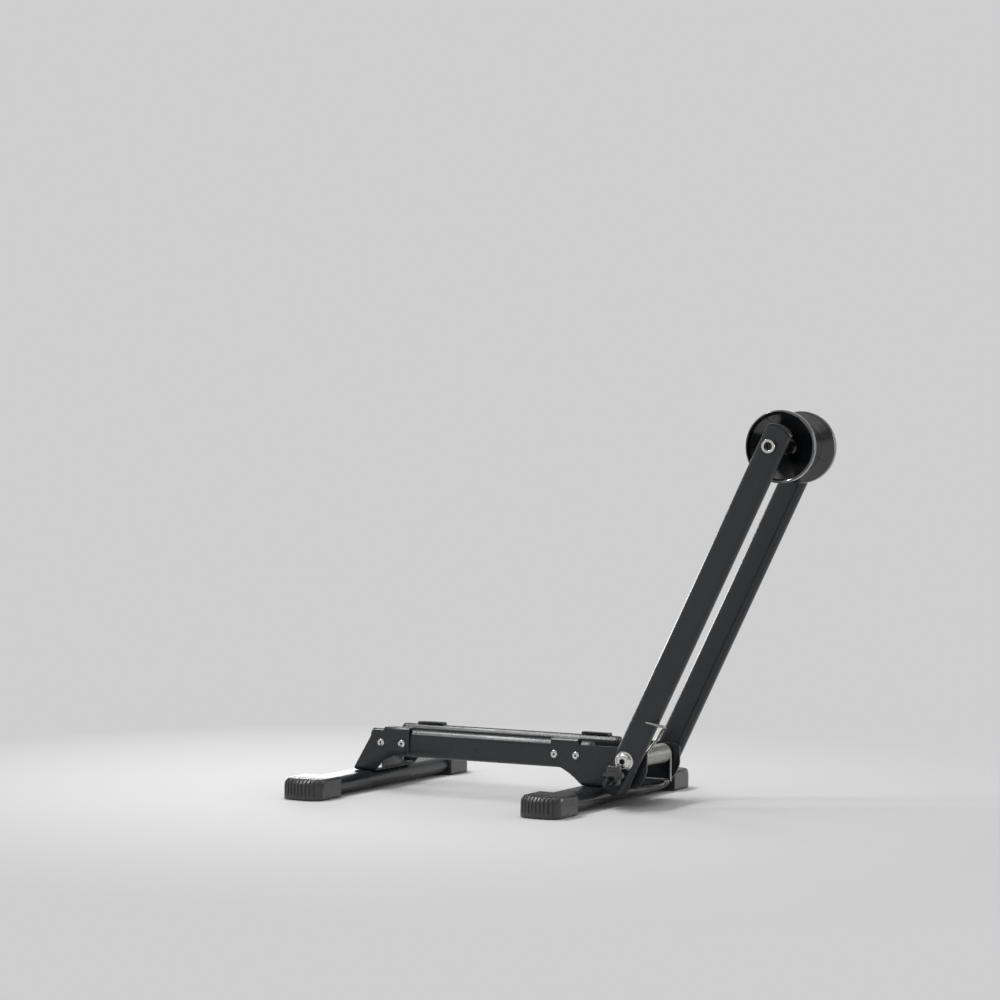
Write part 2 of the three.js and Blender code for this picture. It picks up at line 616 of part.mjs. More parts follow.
// A domed plug for the end of a base tube. Its dome points along +Z from the tube's end at z = 0.
function domedPlug(dome) {
  const rows = 3;
  const fullTurn = 0.43 * Math.PI;
  const outline = oval(TUBE_WIDTH, TUBE_DEPTH).getPoints(OVAL_SEGMENTS);
  outline.pop();
  const ringAt = (inset, z) => outline.map(({ x, y }) => {
    const scaleX = 1 - 2 * inset / TUBE_WIDTH;
    const scaleY = 1 - 2 * inset / TUBE_DEPTH;
    return new THREE.Vector3(x * scaleX, y * scaleY, z);
  });
  const rings = [ringAt(0, SEAT_GAP)];
  for (let row = 0; row <= rows; row++) {
    const angle = row / rows * fullTurn;
    const inset = (1 - Math.cos(angle)) * 0.42 * TUBE_DEPTH;
    rings.push(ringAt(inset, SEAT_GAP + PLUG_RIM + Math.sin(angle) * (dome - PLUG_RIM)));
  }
  const stem = prism(plugStem(), PLUG_INSERT + 1, undefined, [0, 0, (1 - PLUG_INSERT) / 2]);
  return solid(loft(rings)).add(stem);
}

// What lies below an arc about the origin, across the width of a tube, down to a straight edge.
function belowArc(radius, low) {
  const half = TUBE_WIDTH / 2 + 1;
  const reach = Math.asin(half / radius);
  const outline = new THREE.Shape();
  outline.absarc(0, 0, radius, Math.PI / 2 - reach, Math.PI / 2 + reach, false);
  outline.lineTo(-half, low);
  outline.lineTo(half, low);
  return prism(outline, 2 * TUBE_DEPTH, ALONG_Y, [0, 0, -ARM_END_ROUND], END_SEGMENTS);
}

// A plug for a round arm end: an even rim along the arc, and a stem inside the tube. Its rim points along +Z
// from the tube's end at z = 0.
function roundPlug() {
  const rimInside = ARM_END_ROUND + SEAT_GAP;
  const stemLow = ARM_END_ROUND - PLUG_INSERT - TUBE_WIDTH / 4;
  const long = 4 * ARM_END_ROUND;
  const rim = belowArc(rimInside + PLUG_RIM, 0).subtract(belowArc(rimInside, -1));
  const stem = belowArc(rimInside + PLUG_RIM / 2, stemLow).intersect(prism(plugStem(), long));
  const outside = prism(oval(TUBE_WIDTH, TUBE_DEPTH), long, undefined, [0, 0, 0], OVAL_SEGMENTS);
  return rim.intersect(outside).add(stem);
}

function armPlug(name, side, z, turn) {
  const mesh = piece(name, roundPlug(), nylon);
  mesh.position.set(0, side * ARM_Y, z);
  mesh.rotation.x = turn;
  return mesh;
}

function basePlug(name, side, x, direction) {
  const mesh = piece(name, domedPlug(PLUG_BASE), nylon);
  mesh.position.set(x, side * BASE_TUBE_Y, BASE_TUBE_HEIGHT);
  mesh.rotation.y = direction * Math.PI / 2;
  return mesh;
}

// A blind rivet: a domed head with an eye, a shank through plate and tube wall, and a set bulb behind.
function rivet(name, side, x) {
  const face = PLATE_OUTSIDE + SEAT_GAP;
  const head = RIVET_HEAD / 2;
  const shank = RIVET_SHANK / 2;
  const eye = RIVET_EYE / 2;
  const top = face + RIVET_HEAD_HEIGHT;
  const behind = PLATE_INSIDE - 2 * SEAT_GAP - TUBE_WALL;
  const profile = [
    [0, top - RIVET_EYE_DEPTH], [eye, top - RIVET_EYE_DEPTH], [eye, top], [head * 0.75, top], [head, face],
    [shank, face], [shank, behind], [RIVET_BULB / 2, behind - 1], [0, behind - RIVET_TAIL],
  ];
  const facing = side === FAR ? new THREE.Matrix4() : new THREE.Matrix4().makeRotationZ(Math.PI);
  return piece(name, turned(profile, RIVET_ROUND, [x, 0, BASE_TUBE_HEIGHT], facing), nickel);
}

// A flanged hexagon bolt down through the web into the threaded insert of the foot.
function footBolt(name, [x, y]) {
  const seat = WEB_TOP + SEAT_GAP;
  const top = seat + FOOT_BOLT_FLANGE_HEIGHT;
  const head = prism(hexagon(FOOT_BOLT_FLATS), FOOT_BOLT_HEAD, undefined, [x, y, top + FOOT_BOLT_HEAD / 2]);
  const flange = upright([
    [0, seat - FOOT_BOLT_LENGTH], [FOOT_BOLT / 2, seat - FOOT_BOLT_LENGTH], [FOOT_BOLT / 2, seat],
    [FOOT_BOLT_FLANGE / 2, seat], [FOOT_BOLT_FLANGE / 2, seat + 0.5], [FOOT_BOLT_FLATS / 2, top + 0.5],
    [0, top + 0.5],
  ], x, y);
  return piece(name, head.add(flange), zinc);
}

// A threaded insert, set in its hole by the bulge below the wall.
function footInsert(name, [x, y]) {
  const bore = FOOT_BOLT / 2 + SEAT_GAP;
  const body = INSERT_BODY / 2;
  const bulge = INSERT_BULGE / 2;
  const wallInside = FOOT_TOP - TUBE_WALL - SEAT_GAP;
  const insert = upright([
    [bore, FOOT_TOP], [body, FOOT_TOP], [body, wallInside], [bulge, wallInside - 0.4], [body, wallInside - 3],
    [body, FOOT_TOP - INSERT_LENGTH], [bore, FOOT_TOP - INSERT_LENGTH],
  ], x, y);
  return piece(name, insert, zinc);
}

// ---------------------------------------------------------------- pivot

// A broad domed head on the near arm, its shank through everything to the nut on the far arm.
function pivotBolt() {
  const face = ARM_OUTSIDE + SEAT_GAP;
  const radius = PIVOT_HEAD / 2;
  const end = face + PIVOT_HEAD_HEIGHT - PIVOT_CAP - SEAT_GAP;
  const top = -face - PIVOT_HEAD_HEIGHT;
  const rim = -face - PIVOT_RIM;
  const head = [
    [0, top], [PIVOT_DOME_TOP / 2, top], [0.42 * PIVOT_DOME, top + 0.3 * PIVOT_HEAD_HEIGHT],
    [PIVOT_DOME / 2, rim], [radius, rim], [radius, -face],
    [PIVOT_BOLT / 2, -face], [PIVOT_BOLT / 2, end], [0, end],
  ];
  const socket = prism(hexagon(PIVOT_SOCKET), PIVOT_HEAD_HEIGHT, ALONG_Y, [0, top, 0]);
  return piece("pivot_bolt", turned(head).subtract(socket), nickel);
}

// A flanged cap nut on the far arm takes the end of the bolt.
function pivotNut() {
  const face = ARM_OUTSIDE + SEAT_GAP;
  const top = face + PIVOT_HEAD_HEIGHT;
  const flange = pin(PIVOT_HEAD / 2, face, face + PIVOT_NUT_FLANGE);
  const hex = prism(hexagon(PIVOT_NUT_FLATS), PIVOT_HEAD_HEIGHT - 1, ALONG_Y, [0, (face + top - 1) / 2, 0]);
  const corner = PIVOT_NUT_FLATS / 2;
  const crown = turned([[0, top - 1.1], [corner - 0.4, top - 1.1], [corner - 2, top], [0, top]], SMALL_ROUND);
  const bore = pin(PIVOT_BOLT / 2 + SEAT_GAP, face - 1, top - PIVOT_CAP);
  return piece("pivot_nut", flange.add(hex).add(crown).subtract(bore), nickel);
}

function pivotSleeve() {
  const end = PLATE_INSIDE - SEAT_GAP;
  return piece("pivot_sleeve", ring(PIVOT_BOLT / 2 + SEAT_GAP, PIVOT_SLEEVE / 2, -end, end), zinc);
}

// A flanged bush lines each arm; its flange is the thrust face against the side plate.
function armBush(name, side) {
  const bore = PIVOT_BOLT / 2 + RUNNING_GAP;
  const y = (value) => side * value;
  const profile = [
    [bore, y(PLATE_OUTSIDE + SEAT_GAP)], [BUSH_FLANGE / 2, y(PLATE_OUTSIDE + SEAT_GAP)],
    [BUSH_FLANGE / 2, y(ARM_INSIDE - SEAT_GAP)], [BUSH_OUTSIDE, y(ARM_INSIDE - SEAT_GAP)],
    [BUSH_OUTSIDE, y(ARM_OUTSIDE)], [bore, y(ARM_OUTSIDE)],
  ];
  return piece(name, turned(profile), nylon);
}

// ---------------------------------------------------------------- torsion spring

// The wire's centre line about the pivot: a leg hooked round the near arm, the curls, and a straight leg
// down to the web on the far side.
function springLine() {
  const along = (perp, rise, y) => new THREE.Vector3(
    perp * Math.cos(TILT) + rise * Math.sin(TILT), y, rise * Math.cos(TILT) - perp * Math.sin(TILT));
  const clear = SPRING_WIRE / 2 + SPRING_SEAT;
  const outer = -ARM_OUTSIDE - clear;
  const bend = TUBE_WIDTH / 2 + SPRING_HOOK_STAND + SPRING_WIRE / 2;
  const top = SPRING_HOOK_RISE + SPRING_HOOK_CLIMB;
  const start = -SPRING_CURLS * SPRING_PITCH / 2;
  const hook = [
    along(SPRING_HOOK_END, SPRING_HOOK_RISE, outer),
    along(bend - 9, top - 1.6, outer),
    along(bend - 3.5, top - 0.4, outer + 1),
    along(bend - 0.6, top, outer + 4),
    along(bend, top - 0.4, outer + 7.5),
    along(bend - 0.6, top - 1.7, outer + 11.5),
    along(bend - 3, top - 5, -ARM_INSIDE - 1.5),
    along(bend - 4.6, top - 9.5, -ARM_INSIDE + 2.5),
    along(bend - 6, top - 15, -ARM_INSIDE + 5.5),
    along(TUBE_WIDTH / 2, 0.64 * SPRING_HOOK_RISE, start - 0.4),
    along(SPRING_RADIUS + SPRING_WIRE, 0.9 * SPRING_OUTSIDE, start - 0.2),
    along(SPRING_RADIUS + 0.2 * SPRING_WIRE, 0.36 * SPRING_OUTSIDE, start),
  ];
  const turns = SPRING_CURLS - TILT / (2 * Math.PI);
  const steps = Math.round(turns * SPRING_STEPS);
  const curls = [];
  for (let i = 0; i <= steps; i++) {
    const wound = i / steps * turns;
    const angle = TILT + wound * 2 * Math.PI;
    const [x, z] = [SPRING_RADIUS * Math.cos(angle), -SPRING_RADIUS * Math.sin(angle)];
    curls.push(new THREE.Vector3(x, start + wound * SPRING_PITCH, z));
  }
  const far = curls[curls.length - 1];
  const leg = [8, 16, SPRING_FOOT_LEG].map((drop) => new THREE.Vector3(SPRING_RADIUS, far.y + 0.6, -drop));
  reportSpringGap(curls);
  return [...hook, ...curls, ...leg];
}

function reportSpringGap(points) {
  let least = Infinity;
  for (let i = 0; i < points.length; i++) {
    for (let j = i + SPRING_STEPS / 2 + 1; j < points.length; j++) {
      least = Math.min(least, points[i].distanceTo(points[j]));
    }
  }
  console.log(`torsion spring: least gap to itself ${(least - SPRING_WIRE).toFixed(2)} mm`);
}

function torsionSpring() {
  const line = springLine();
  const rings = [];
  let across = new THREE.Vector3(0, 0, 1);
  line.forEach((point, i) => {
    const before = line[Math.max(i - 1, 0)];
    const after = line[Math.min(i + 1, line.length - 1)];
    const tangent = after.clone().sub(before).normalize();
    across = across.clone().addScaledVector(tangent, -across.dot(tangent)).normalize();
    const side = tangent.clone().cross(across);
    const circle = [];
    for (let k = 0; k < SPRING_SIDES; k++) {
      const angle = k / SPRING_SIDES * 2 * Math.PI;
      circle.push(point.clone().addScaledVector(across, SPRING_WIRE / 2 * Math.cos(angle))
        .addScaledVector(side, SPRING_WIRE / 2 * Math.sin(angle)));
    }
    rings.push(circle);
  });
  return piece("torsion_spring", solid(loft(rings)), zinc);
}

// ---------------------------------------------------------------- arms

// The arm seen from the side: both ends are cut to an arc.
function armOutline() {
  const half = TUBE_WIDTH / 2 + 1;
  const reach = Math.asin(half / ARM_END_ROUND);
  const up = Math.PI / 2;
  const outline = new THREE.Shape();
  outline.absarc(0, ARM_LENGTH + ARM_HEAD - ARM_END_ROUND, ARM_END_ROUND, up - reach, up + reach, false);
  outline.absarc(0, ARM_END_ROUND - ARM_TAIL, ARM_END_ROUND, 3 * up - reach, 3 * up + reach, false);
  return outline;
}

// The arm's own frame: origin at the pivot, +Z along the arm to the roller axle.
function arm(name, side) {
  const blank = ovalTube(TUBE_WIDTH, TUBE_DEPTH, 3 * ARM_LENGTH, undefined, [0, side * ARM_Y, 0]);
  const tube = blank.intersect(prism(armOutline(), 2 * ARM_OUTSIDE + 2, ALONG_Y, [0, 0, 0], END_SEGMENTS));
  const through = ordered(side * (ARM_INSIDE - 1), side * (ARM_OUTSIDE + 1));
  const inner = ordered(side * (ARM_INSIDE - 1), side * ARM_Y);
  const outer = ordered(side * ARM_Y, side * (ARM_OUTSIDE + 1));
  const holes = [
    pin(BUSH_OUTSIDE + SEAT_GAP, ...through),
    pin(AXLE / 2 + SEAT_GAP, ...inner, 0, ARM_LENGTH),
    pin(AXLE_SCREW / 2 + SEAT_GAP, ...outer, 0, ARM_LENGTH, SMALL_ROUND),
  ];
  if (side === NEAR) holes.push(pin(KNOB_STUD / 2 + RUNNING_GAP, ...through, 0, -KNOB_BELOW, SMALL_ROUND));
  return piece(name, cut(tube, holes), powderCoat);
}

function axle() {
  const end = ARM_OUTSIDE - TUBE_WALL - SEAT_GAP;
  const rod = pin(AXLE / 2, -end, end, 0, ARM_LENGTH);
  const tapped = [NEAR, FAR].map((side) => {
    const ends = ordered(side * (end - AXLE_SCREW_DEPTH), side * (end + 1));
    return pin(AXLE_SCREW / 2 + SEAT_GAP, ...ends, 0, ARM_LENGTH, SMALL_ROUND);
  });
  return piece("roller_axle", cut(rod, tapped), zinc);
}

function axleScrew(name, side) {
  const face = ARM_OUTSIDE + SEAT_GAP;
  const top = face + AXLE_HEAD_HEIGHT;
  const tip = ARM_OUTSIDE - TUBE_WALL - SEAT_GAP - AXLE_SCREW_DEPTH + 1;
  const [head, dish, shank] = [AXLE_HEAD / 2, AXLE_DISH / 2, AXLE_SCREW / 2];
  const profile = [
    [0, top - AXLE_DISH_DEPTH], [dish, top - AXLE_DISH_DEPTH], [dish, top], [head - 1, top], [head, top - 0.9],
    [head, face], [shank, face], [shank, tip], [0, tip],
  ];
  const facing = side === FAR ? new THREE.Matrix4() : new THREE.Matrix4().makeRotationZ(Math.PI);
  const screw = turned(profile, ROUND, [0, 0, ARM_LENGTH], facing);
  const socket = prism(hexagon(AXLE_SOCKET), 6, ALONG_Y, [0, side * top, ARM_LENGTH]);
  return piece(name, screw.subtract(socket), nickel);
}

function axleSpacer(name, side) {
  const ends = ordered(side * (ROLLER_HUB_END + SEAT_GAP), side * (ARM_INSIDE - SEAT_GAP));
  return piece(name, ring(AXLE / 2 + SEAT_GAP, AXLE_SPACER / 2, ...ends, 0, ARM_LENGTH, SMALL_ROUND), nylon);
}

// ---------------------------------------------------------------- rollers

// One half of the V. Its profile runs from the waist up the V to a rolled rim, then down inside the hollow
// dish to the hub tube. The dish holds low radial ribs, and the V carries raised rings.
function roller(name, side) {
  const round = ROLLER_RIM_ROUND;
  const rimInside = ROLLER_OUTER - ROLLER_RIM_WIDTH;
  const slopeRun = rimInside - ROLLER_WAIST_LENGTH;
  const slopeRise = ROLLER_RADIUS - round - ROLLER_WAIST;
  const outside = (radius) => ROLLER_WAIST_LENGTH + (radius - ROLLER_WAIST) * slopeRun / slopeRise;
  const hubOutside = ROLLER_BORE + ROLLER_HUB_WALL;
  const rimWall = ROLLER_RADIUS - ROLLER_WALL;
  const dishFoot = ROLLER_WAIST + 1;
  const dishBottom = ROLLER_WAIST_LENGTH + 1.6 * ROLLER_WALL;
  const dishTop = rimInside + 1.6 * round;
  const steps = [ROLLER_INNER_RING, ROLLER_OUTER_RING].flatMap((radius) => [
    [radius, outside(radius)], [radius + 0.2, outside(radius) - ROLLER_STEP],
    [radius + ROLLER_RING_WIDTH, outside(radius + ROLLER_RING_WIDTH)],
  ]);
  const rim = [
    [ROLLER_RADIUS - round, rimInside], [ROLLER_RADIUS - 0.3 * round, rimInside + 0.4 * round],
    [ROLLER_RADIUS, rimInside + 1.2 * round], [ROLLER_RADIUS, ROLLER_OUTER - 0.8 * round],
    [ROLLER_RADIUS - 0.3 * round, ROLLER_OUTER - 0.15 * round], [ROLLER_RADIUS - 0.8 * round, ROLLER_OUTER],
    [rimWall, ROLLER_OUTER - 0.4 * round],
  ];
  const profile = [
    [ROLLER_BORE, ROLLER_SPLIT / 2], [ROLLER_WAIST, ROLLER_SPLIT / 2], [ROLLER_WAIST, ROLLER_WAIST_LENGTH],
    ...steps, ...rim, [rimWall, dishTop], [dishFoot, dishBottom],
    [hubOutside, dishBottom], [hubOutside, ROLLER_HUB_END], [ROLLER_BORE, ROLLER_HUB_END],
  ];
  const rib = new THREE.Shape();
  rib.moveTo(hubOutside - 0.4, dishBottom - 1);
  rib.lineTo(dishFoot, dishBottom - 1);
  rib.lineTo(rimWall + 0.8, dishTop - 0.4);
  rib.lineTo(rimWall + 0.8, dishTop + ROLLER_RIB_HEIGHT);
  rib.lineTo(dishFoot, dishBottom + ROLLER_RIB_HEIGHT);
  rib.lineTo(hubOutside - 0.4, dishBottom + ROLLER_RIB_HEIGHT);
  let body = turned(profile, FINE_ROUND);
  for (let i = 0; i < ROLLER_RIBS; i++) {
    const spoke = new THREE.Matrix4().makeRotationY((i + 0.06) * 2 * Math.PI / ROLLER_RIBS);
    const geometry = new THREE.ExtrudeGeometry(rib, { depth: ROLLER_RIB, bevelEnabled: false });
    geometry.translate(0, 0, -ROLLER_RIB / 2);
    body = body.add(solid(geometry, spoke));
  }
  const mesh = piece(name, body, glossPlastic);
  mesh.position.z = ARM_LENGTH;
  if (side === NEAR) mesh.rotation.z = Math.PI;
  return mesh;
}

function rollerBush(name, side) {
  const ends = ordered(side * (ROLLER_SPLIT / 2 + 0.5), side * (ROLLER_HUB_END - 0.5));
  const bush = ring(AXLE / 2 + RUNNING_GAP, AXLE_BUSH_OUTSIDE, ...ends, 0, ARM_LENGTH, SMALL_ROUND);
  return piece(name, bush, bronze);
}

// ---------------------------------------------------------------- lock knob

function knob() {
  const star = new THREE.Shape();
  const points = 6 * KNOB_LOBES;
  for (let i = 0; i < points; i++) {
    const lobe = i / points * 2 * Math.PI;
    const hollow = Math.pow(0.5 - 0.5 * Math.cos(KNOB_LOBES * lobe), 1.5);
    const radius = KNOB_RADIUS - KNOB_EDGE - KNOB_LOBE_DEPTH * hollow;
    const angle = lobe + TILT;
    star[i ? "lineTo" : "moveTo"](radius * Math.cos(angle), radius * Math.sin(angle));
  }
  const bevel = { bevelEnabled: true, bevelThickness: KNOB_EDGE, bevelSize: KNOB_EDGE, bevelSegments: 1 };
  const geometry = new THREE.ExtrudeGeometry(star, { depth: KNOB_THICK - 2 * KNOB_EDGE, ...bevel });
  geometry.translate(0, 0, KNOB_EDGE);
  const face = KNOB_BACK + KNOB_THICK;
  const body = solid(geometry, moved(0, -KNOB_BACK, -KNOB_BELOW).multiply(ALONG_Y));
  const neck = pin(KNOB_NECK / 2, -KNOB_BACK - 1, -ARM_OUTSIDE - SEAT_GAP, 0, -KNOB_BELOW);
  const hub = pin(KNOB_HUB / 2, -face - KNOB_HUB_RISE, -face + 1, 0, -KNOB_BELOW);
  const bore = pin(KNOB_STUD / 2 + SEAT_GAP, -face + KNOB_FACE, 0, 0, -KNOB_BELOW, SMALL_ROUND);
  return piece("lock_knob", body.add(neck).add(hub).subtract(bore), glossPlastic);
}

// The stud runs through the arm, and its tip bears on the side plate.
function knobStud() {
  const root = -KNOB_BACK - KNOB_THICK + KNOB_FACE + SEAT_GAP;
  const tip = -PLATE_OUTSIDE - SEAT_GAP;
  return piece("lock_stud", pin(KNOB_STUD / 2, root, tip, 0, -KNOB_BELOW, SMALL_ROUND), zinc);
}

// Welded inside the near arm, against its inner wall.
function knobNut() {
  const wallInside = -ARM_INSIDE - TUBE_WALL - SEAT_GAP;
  const body = prism(hexagon(KNOB_NUT_FLATS), KNOB_NUT, ALONG_Y, [0, wallInside - KNOB_NUT / 2, -KNOB_BELOW]);
  const ends = [wallInside - KNOB_NUT - 1, wallInside + 1];
  const bore = pin(KNOB_STUD / 2 + RUNNING_GAP, ...ends, 0, -KNOB_BELOW, SMALL_ROUND);
  return piece("lock_nut", body.subtract(bore), zinc);
}

// ---------------------------------------------------------------- assembly

const rack = new THREE.Group();
rack.position.x = FRONT_FOOT_X;

const rearStation = new THREE.Group();
rearStation.position.x = -FOOT_SPACING;
rack.add(rearStation);

for (const [station, place, rivetPlaces] of [[rack, "front", frontRivets], [rearStation, "rear", rearRivets]]) {
  station.add(footTube(`${place}_foot_tube`));
  for (const [side, hand] of [[NEAR, "near"], [FAR, "far"]]) {
    const boltPlace = [FOOT_BOLT_OFFSET, side * FOOT_BOLT_Y];
    station.add(footCap(`foot_cap_${place}_${hand}`, side));
    station.add(footBolt(`foot_bolt_${place}_${hand}`, boltPlace));
    station.add(footInsert(`foot_insert_${place}_${hand}`, boltPlace));
    rivetPlaces.forEach((x, i) => station.add(rivet(`rivet_${place}_${hand}_${i + 1}`, side, x)));
  }
}
rack.add(frontBracket());
rearStation.add(rearBracket());

for (const [side, hand] of [[NEAR, "near"], [FAR, "far"]]) {
  rack.add(baseTube(`base_tube_${hand}`, side));
  rack.add(basePlug(`base_plug_${hand}_front`, side, BASE_TUBE_FRONT, 1));
  rack.add(basePlug(`base_plug_${hand}_rear`, side, BASE_TUBE_START, -1));
}

const pivot = new THREE.Group();
pivot.position.set(PIVOT_AHEAD, 0, PIVOT_HEIGHT);
pivot.add(pivotBolt(), pivotNut(), pivotSleeve(), torsionSpring());
rack.add(pivot);

const arms = new THREE.Group();
arms.rotation.y = TILT;
pivot.add(arms);
for (const [side, hand] of [[NEAR, "near"], [FAR, "far"]]) {
  arms.add(arm(`arm_${hand}`, side), armBush(`arm_bush_${hand}`, side));
  arms.add(armPlug(`arm_plug_top_${hand}`, side, ARM_LENGTH + ARM_HEAD, 0));
  arms.add(armPlug(`arm_plug_bottom_${hand}`, side, -ARM_TAIL, Math.PI));
  arms.add(axleScrew(`axle_screw_${hand}`, side), axleSpacer(`axle_spacer_${hand}`, side));
  arms.add(roller(`roller_${hand}`, side), rollerBush(`roller_bush_${hand}`, side));
}
arms.add(axle(), knob(), knobStud(), knobNut());

export default rack;
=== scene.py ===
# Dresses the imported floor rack: finer meshes for its pieces, materials, floor, light and camera.
# Shapes are written in millimetres in the frame of the part they sit on, and become metres in finished().
import json
import math

import bmesh
import bpy
from mathutils import Matrix, Vector

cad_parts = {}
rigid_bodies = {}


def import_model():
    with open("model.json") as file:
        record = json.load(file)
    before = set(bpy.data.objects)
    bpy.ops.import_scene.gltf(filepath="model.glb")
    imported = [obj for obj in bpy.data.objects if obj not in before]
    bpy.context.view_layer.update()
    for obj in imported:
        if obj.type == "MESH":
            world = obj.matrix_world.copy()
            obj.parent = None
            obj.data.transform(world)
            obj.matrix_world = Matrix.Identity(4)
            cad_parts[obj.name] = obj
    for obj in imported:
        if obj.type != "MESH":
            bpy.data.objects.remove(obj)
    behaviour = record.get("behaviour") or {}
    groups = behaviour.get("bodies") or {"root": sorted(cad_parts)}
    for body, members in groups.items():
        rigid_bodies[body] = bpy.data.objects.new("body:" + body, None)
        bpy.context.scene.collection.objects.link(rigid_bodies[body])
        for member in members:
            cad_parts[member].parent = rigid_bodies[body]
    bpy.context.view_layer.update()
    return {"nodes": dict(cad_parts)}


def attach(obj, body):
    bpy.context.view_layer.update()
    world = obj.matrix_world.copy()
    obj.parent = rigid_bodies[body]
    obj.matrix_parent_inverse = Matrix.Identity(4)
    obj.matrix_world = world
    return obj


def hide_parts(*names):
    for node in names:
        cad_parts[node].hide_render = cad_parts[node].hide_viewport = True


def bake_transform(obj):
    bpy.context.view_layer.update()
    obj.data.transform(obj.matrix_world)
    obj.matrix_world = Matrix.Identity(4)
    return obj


for old in list(bpy.data.objects):
    bpy.data.objects.remove(old)
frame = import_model()

MM = 0.001
QUARTER = math.pi / 2
Z_AXIS = Vector((0, 0, 1))

# Sizes in mm, the same as in the part's source
SHEET = 2.5
SHEET_BEND = 4.0
SEAT_GAP = 0.3
TUBE_WIDTH, TUBE_DEPTH, TUBE_WALL = 30, 15, 1.5
FOOT_SPACING = 280
FOOT_WIDTH, FOOT_HEIGHT, FOOT_LENGTH = 40, 18, 362
FOOT_BOTTOM, FOOT_TOP = 2.6, 20.6
FRONT_FOOT_X = 31.85
CAP_WIDTH, CAP_HEIGHT, CAP_LENGTH, CAP_END = 46.6, 22.8, 54, 189.3
CAP_NOSE = 8
WEB_BOTTOM, WEB_TOP, BRACKET_TOP = 20.9, 23.4, 70.8
PLATE_OUTSIDE, PLATE_INSIDE = 48, 45.5
BASE_TUBE_Y, BASE_TUBE_HEIGHT = 37.7, 53
BASE_TUBE_FRONT, BASE_TUBE_REAR = -6, 14
PIVOT_AHEAD, PIVOT_HEIGHT = 45.5, 52.3
ARM_INSIDE, ARM_OUTSIDE, ARM_Y = 50, 65, 57.5
ARM_FACE = ARM_OUTSIDE + SEAT_GAP
ARM_LENGTH, ARM_TAIL, ARM_HEAD = 371.2, 38.2, 22.3
ARM_END_ROUND, PLUG_RIM, PLUG_INSERT = 20, 1.8, 7
TILT = math.radians(24.8)
SPRING_WIRE, SPRING_RADIUS, SPRING_CURLS, SPRING_PITCH = 3.0, 9.7, 23, 3.6
SPRING_ROOM = 0.5
RIVETS_FRONT = (-44, -18.5)
RIVETS_REAR = (51, 25.5)
FOOT_BOLTS = (6, 38)
KNOB_BELOW, KNOB_BACK = 15.8, 72.4

# Radii in mm: pins, and the bores round them
AXLE, AXLE_BORE = 4, 4.3
BUSH, BUSH_BORE = 6.1, 6.4
BOLT, BOLT_BORE = 3, 3.3
SCREW, SCREW_BORE = 2.5, 2.8
RIVET, RIVET_BORE = 2.4, 2.7
INSERT_BORE = 4.8
PAST = 1  # how far a tool reaches past what it cuts

FRONT = Matrix.Translation((FRONT_FOOT_X, 0, 0))
REAR = FRONT @ Matrix.Translation((-FOOT_SPACING, 0, 0))
PIVOT = FRONT @ Matrix.Translation((PIVOT_AHEAD, 0, PIVOT_HEIGHT))
ARMS = PIVOT @ Matrix.Rotation(TILT, 4, "Y")
TOP_AXLE = ARMS @ Matrix.Translation((0, 0, ARM_LENGTH))
ALONG_X = Matrix(((0, 0, 1, 0), (1, 0, 0, 0), (0, 1, 0, 0), (0, 0, 0, 1)))
ALONG_Y = Matrix(((1, 0, 0, 0), (0, 0, -1, 0), (0, 1, 0, 0), (0, 0, 0, 1)))
Y_TO_Z = Matrix.Rotation(QUARTER, 4, "X")
Z_TO_Y = Matrix.Rotation(-QUARTER, 4, "X")
HANDS = (("near", -1), ("far", 1))


# ---------------------------------------------------------------- materials

MOTTLE_SCALE, MOTTLE_DETAIL, MOTTLE_BAND = 38, 5, (0.3, 0.7)
GRAIN_DETAIL, GRAIN_STRENGTH = 2, 0.5
COAT_ROUGHNESS = 0.12


def links(material):
    tree = material.node_tree

    def join(a, output, b, socket):
        tree.links.new(a.outputs[output], b.inputs[socket])

    return tree.nodes, join


def map_range(nodes, source, target=(0, 1)):
    node = nodes.new("ShaderNodeMapRange")
    for socket, value in zip(("From Min", "From Max", "To Min", "To Max"), (*source, *target)):
        node.inputs[socket].default_value = value
    return node


def surface(name, colour, roughness, spread=0.08, metallic=0.0, grain=900, grain_depth=0.02, mottle=0.25,
            coat=0.0):
    """Principled material: mottled colour, uneven roughness and a fine bumped grain, all from noise."""
    material = bpy.data.materials.new(name)
    material.use_nodes = True
    nodes, join = links(material)
    shader = nodes["Principled BSDF"]
    shader.inputs["Metallic"].default_value = metallic
    shader.inputs["Coat Weight"].default_value = coat
    shader.inputs["Coat Roughness"].default_value = COAT_ROUGHNESS
    place = nodes.new("ShaderNodeTexCoord")

    def noise(scale, detail):
        node = nodes.new("ShaderNodeTexNoise")
        node.inputs["Scale"].default_value = scale
        node.inputs["Detail"].default_value = detail
        join(place, "Object", node, "Vector")
        return node

    broad = noise(MOTTLE_SCALE, MOTTLE_DETAIL)
    tint = nodes.new("ShaderNodeMix")
    tint.data_type = "RGBA"
    tint.inputs["A"].default_value = (*[c * (1 - mottle) for c in colour], 1)
    tint.inputs["B"].default_value = (*[c * (1 + mottle) for c in colour], 1)
    join(broad, "Fac", tint, "Factor")
    join(tint, "Result", shader, "Base Color")
    rough = map_range(nodes, MOTTLE_BAND, (roughness - spread, roughness + spread))
    join(broad, "Fac", rough, "Value")
    join(rough, "Result", shader, "Roughness")
    fine = noise(grain, GRAIN_DETAIL)
    bump = nodes.new("ShaderNodeBump")
    bump.inputs["Strength"].default_value = GRAIN_STRENGTH
    bump.inputs["Distance"].default_value = grain_depth * MM
    join(fine, "Fac", bump, "Height")
    join(bump, "Normal", shader, "Normal")
    return material


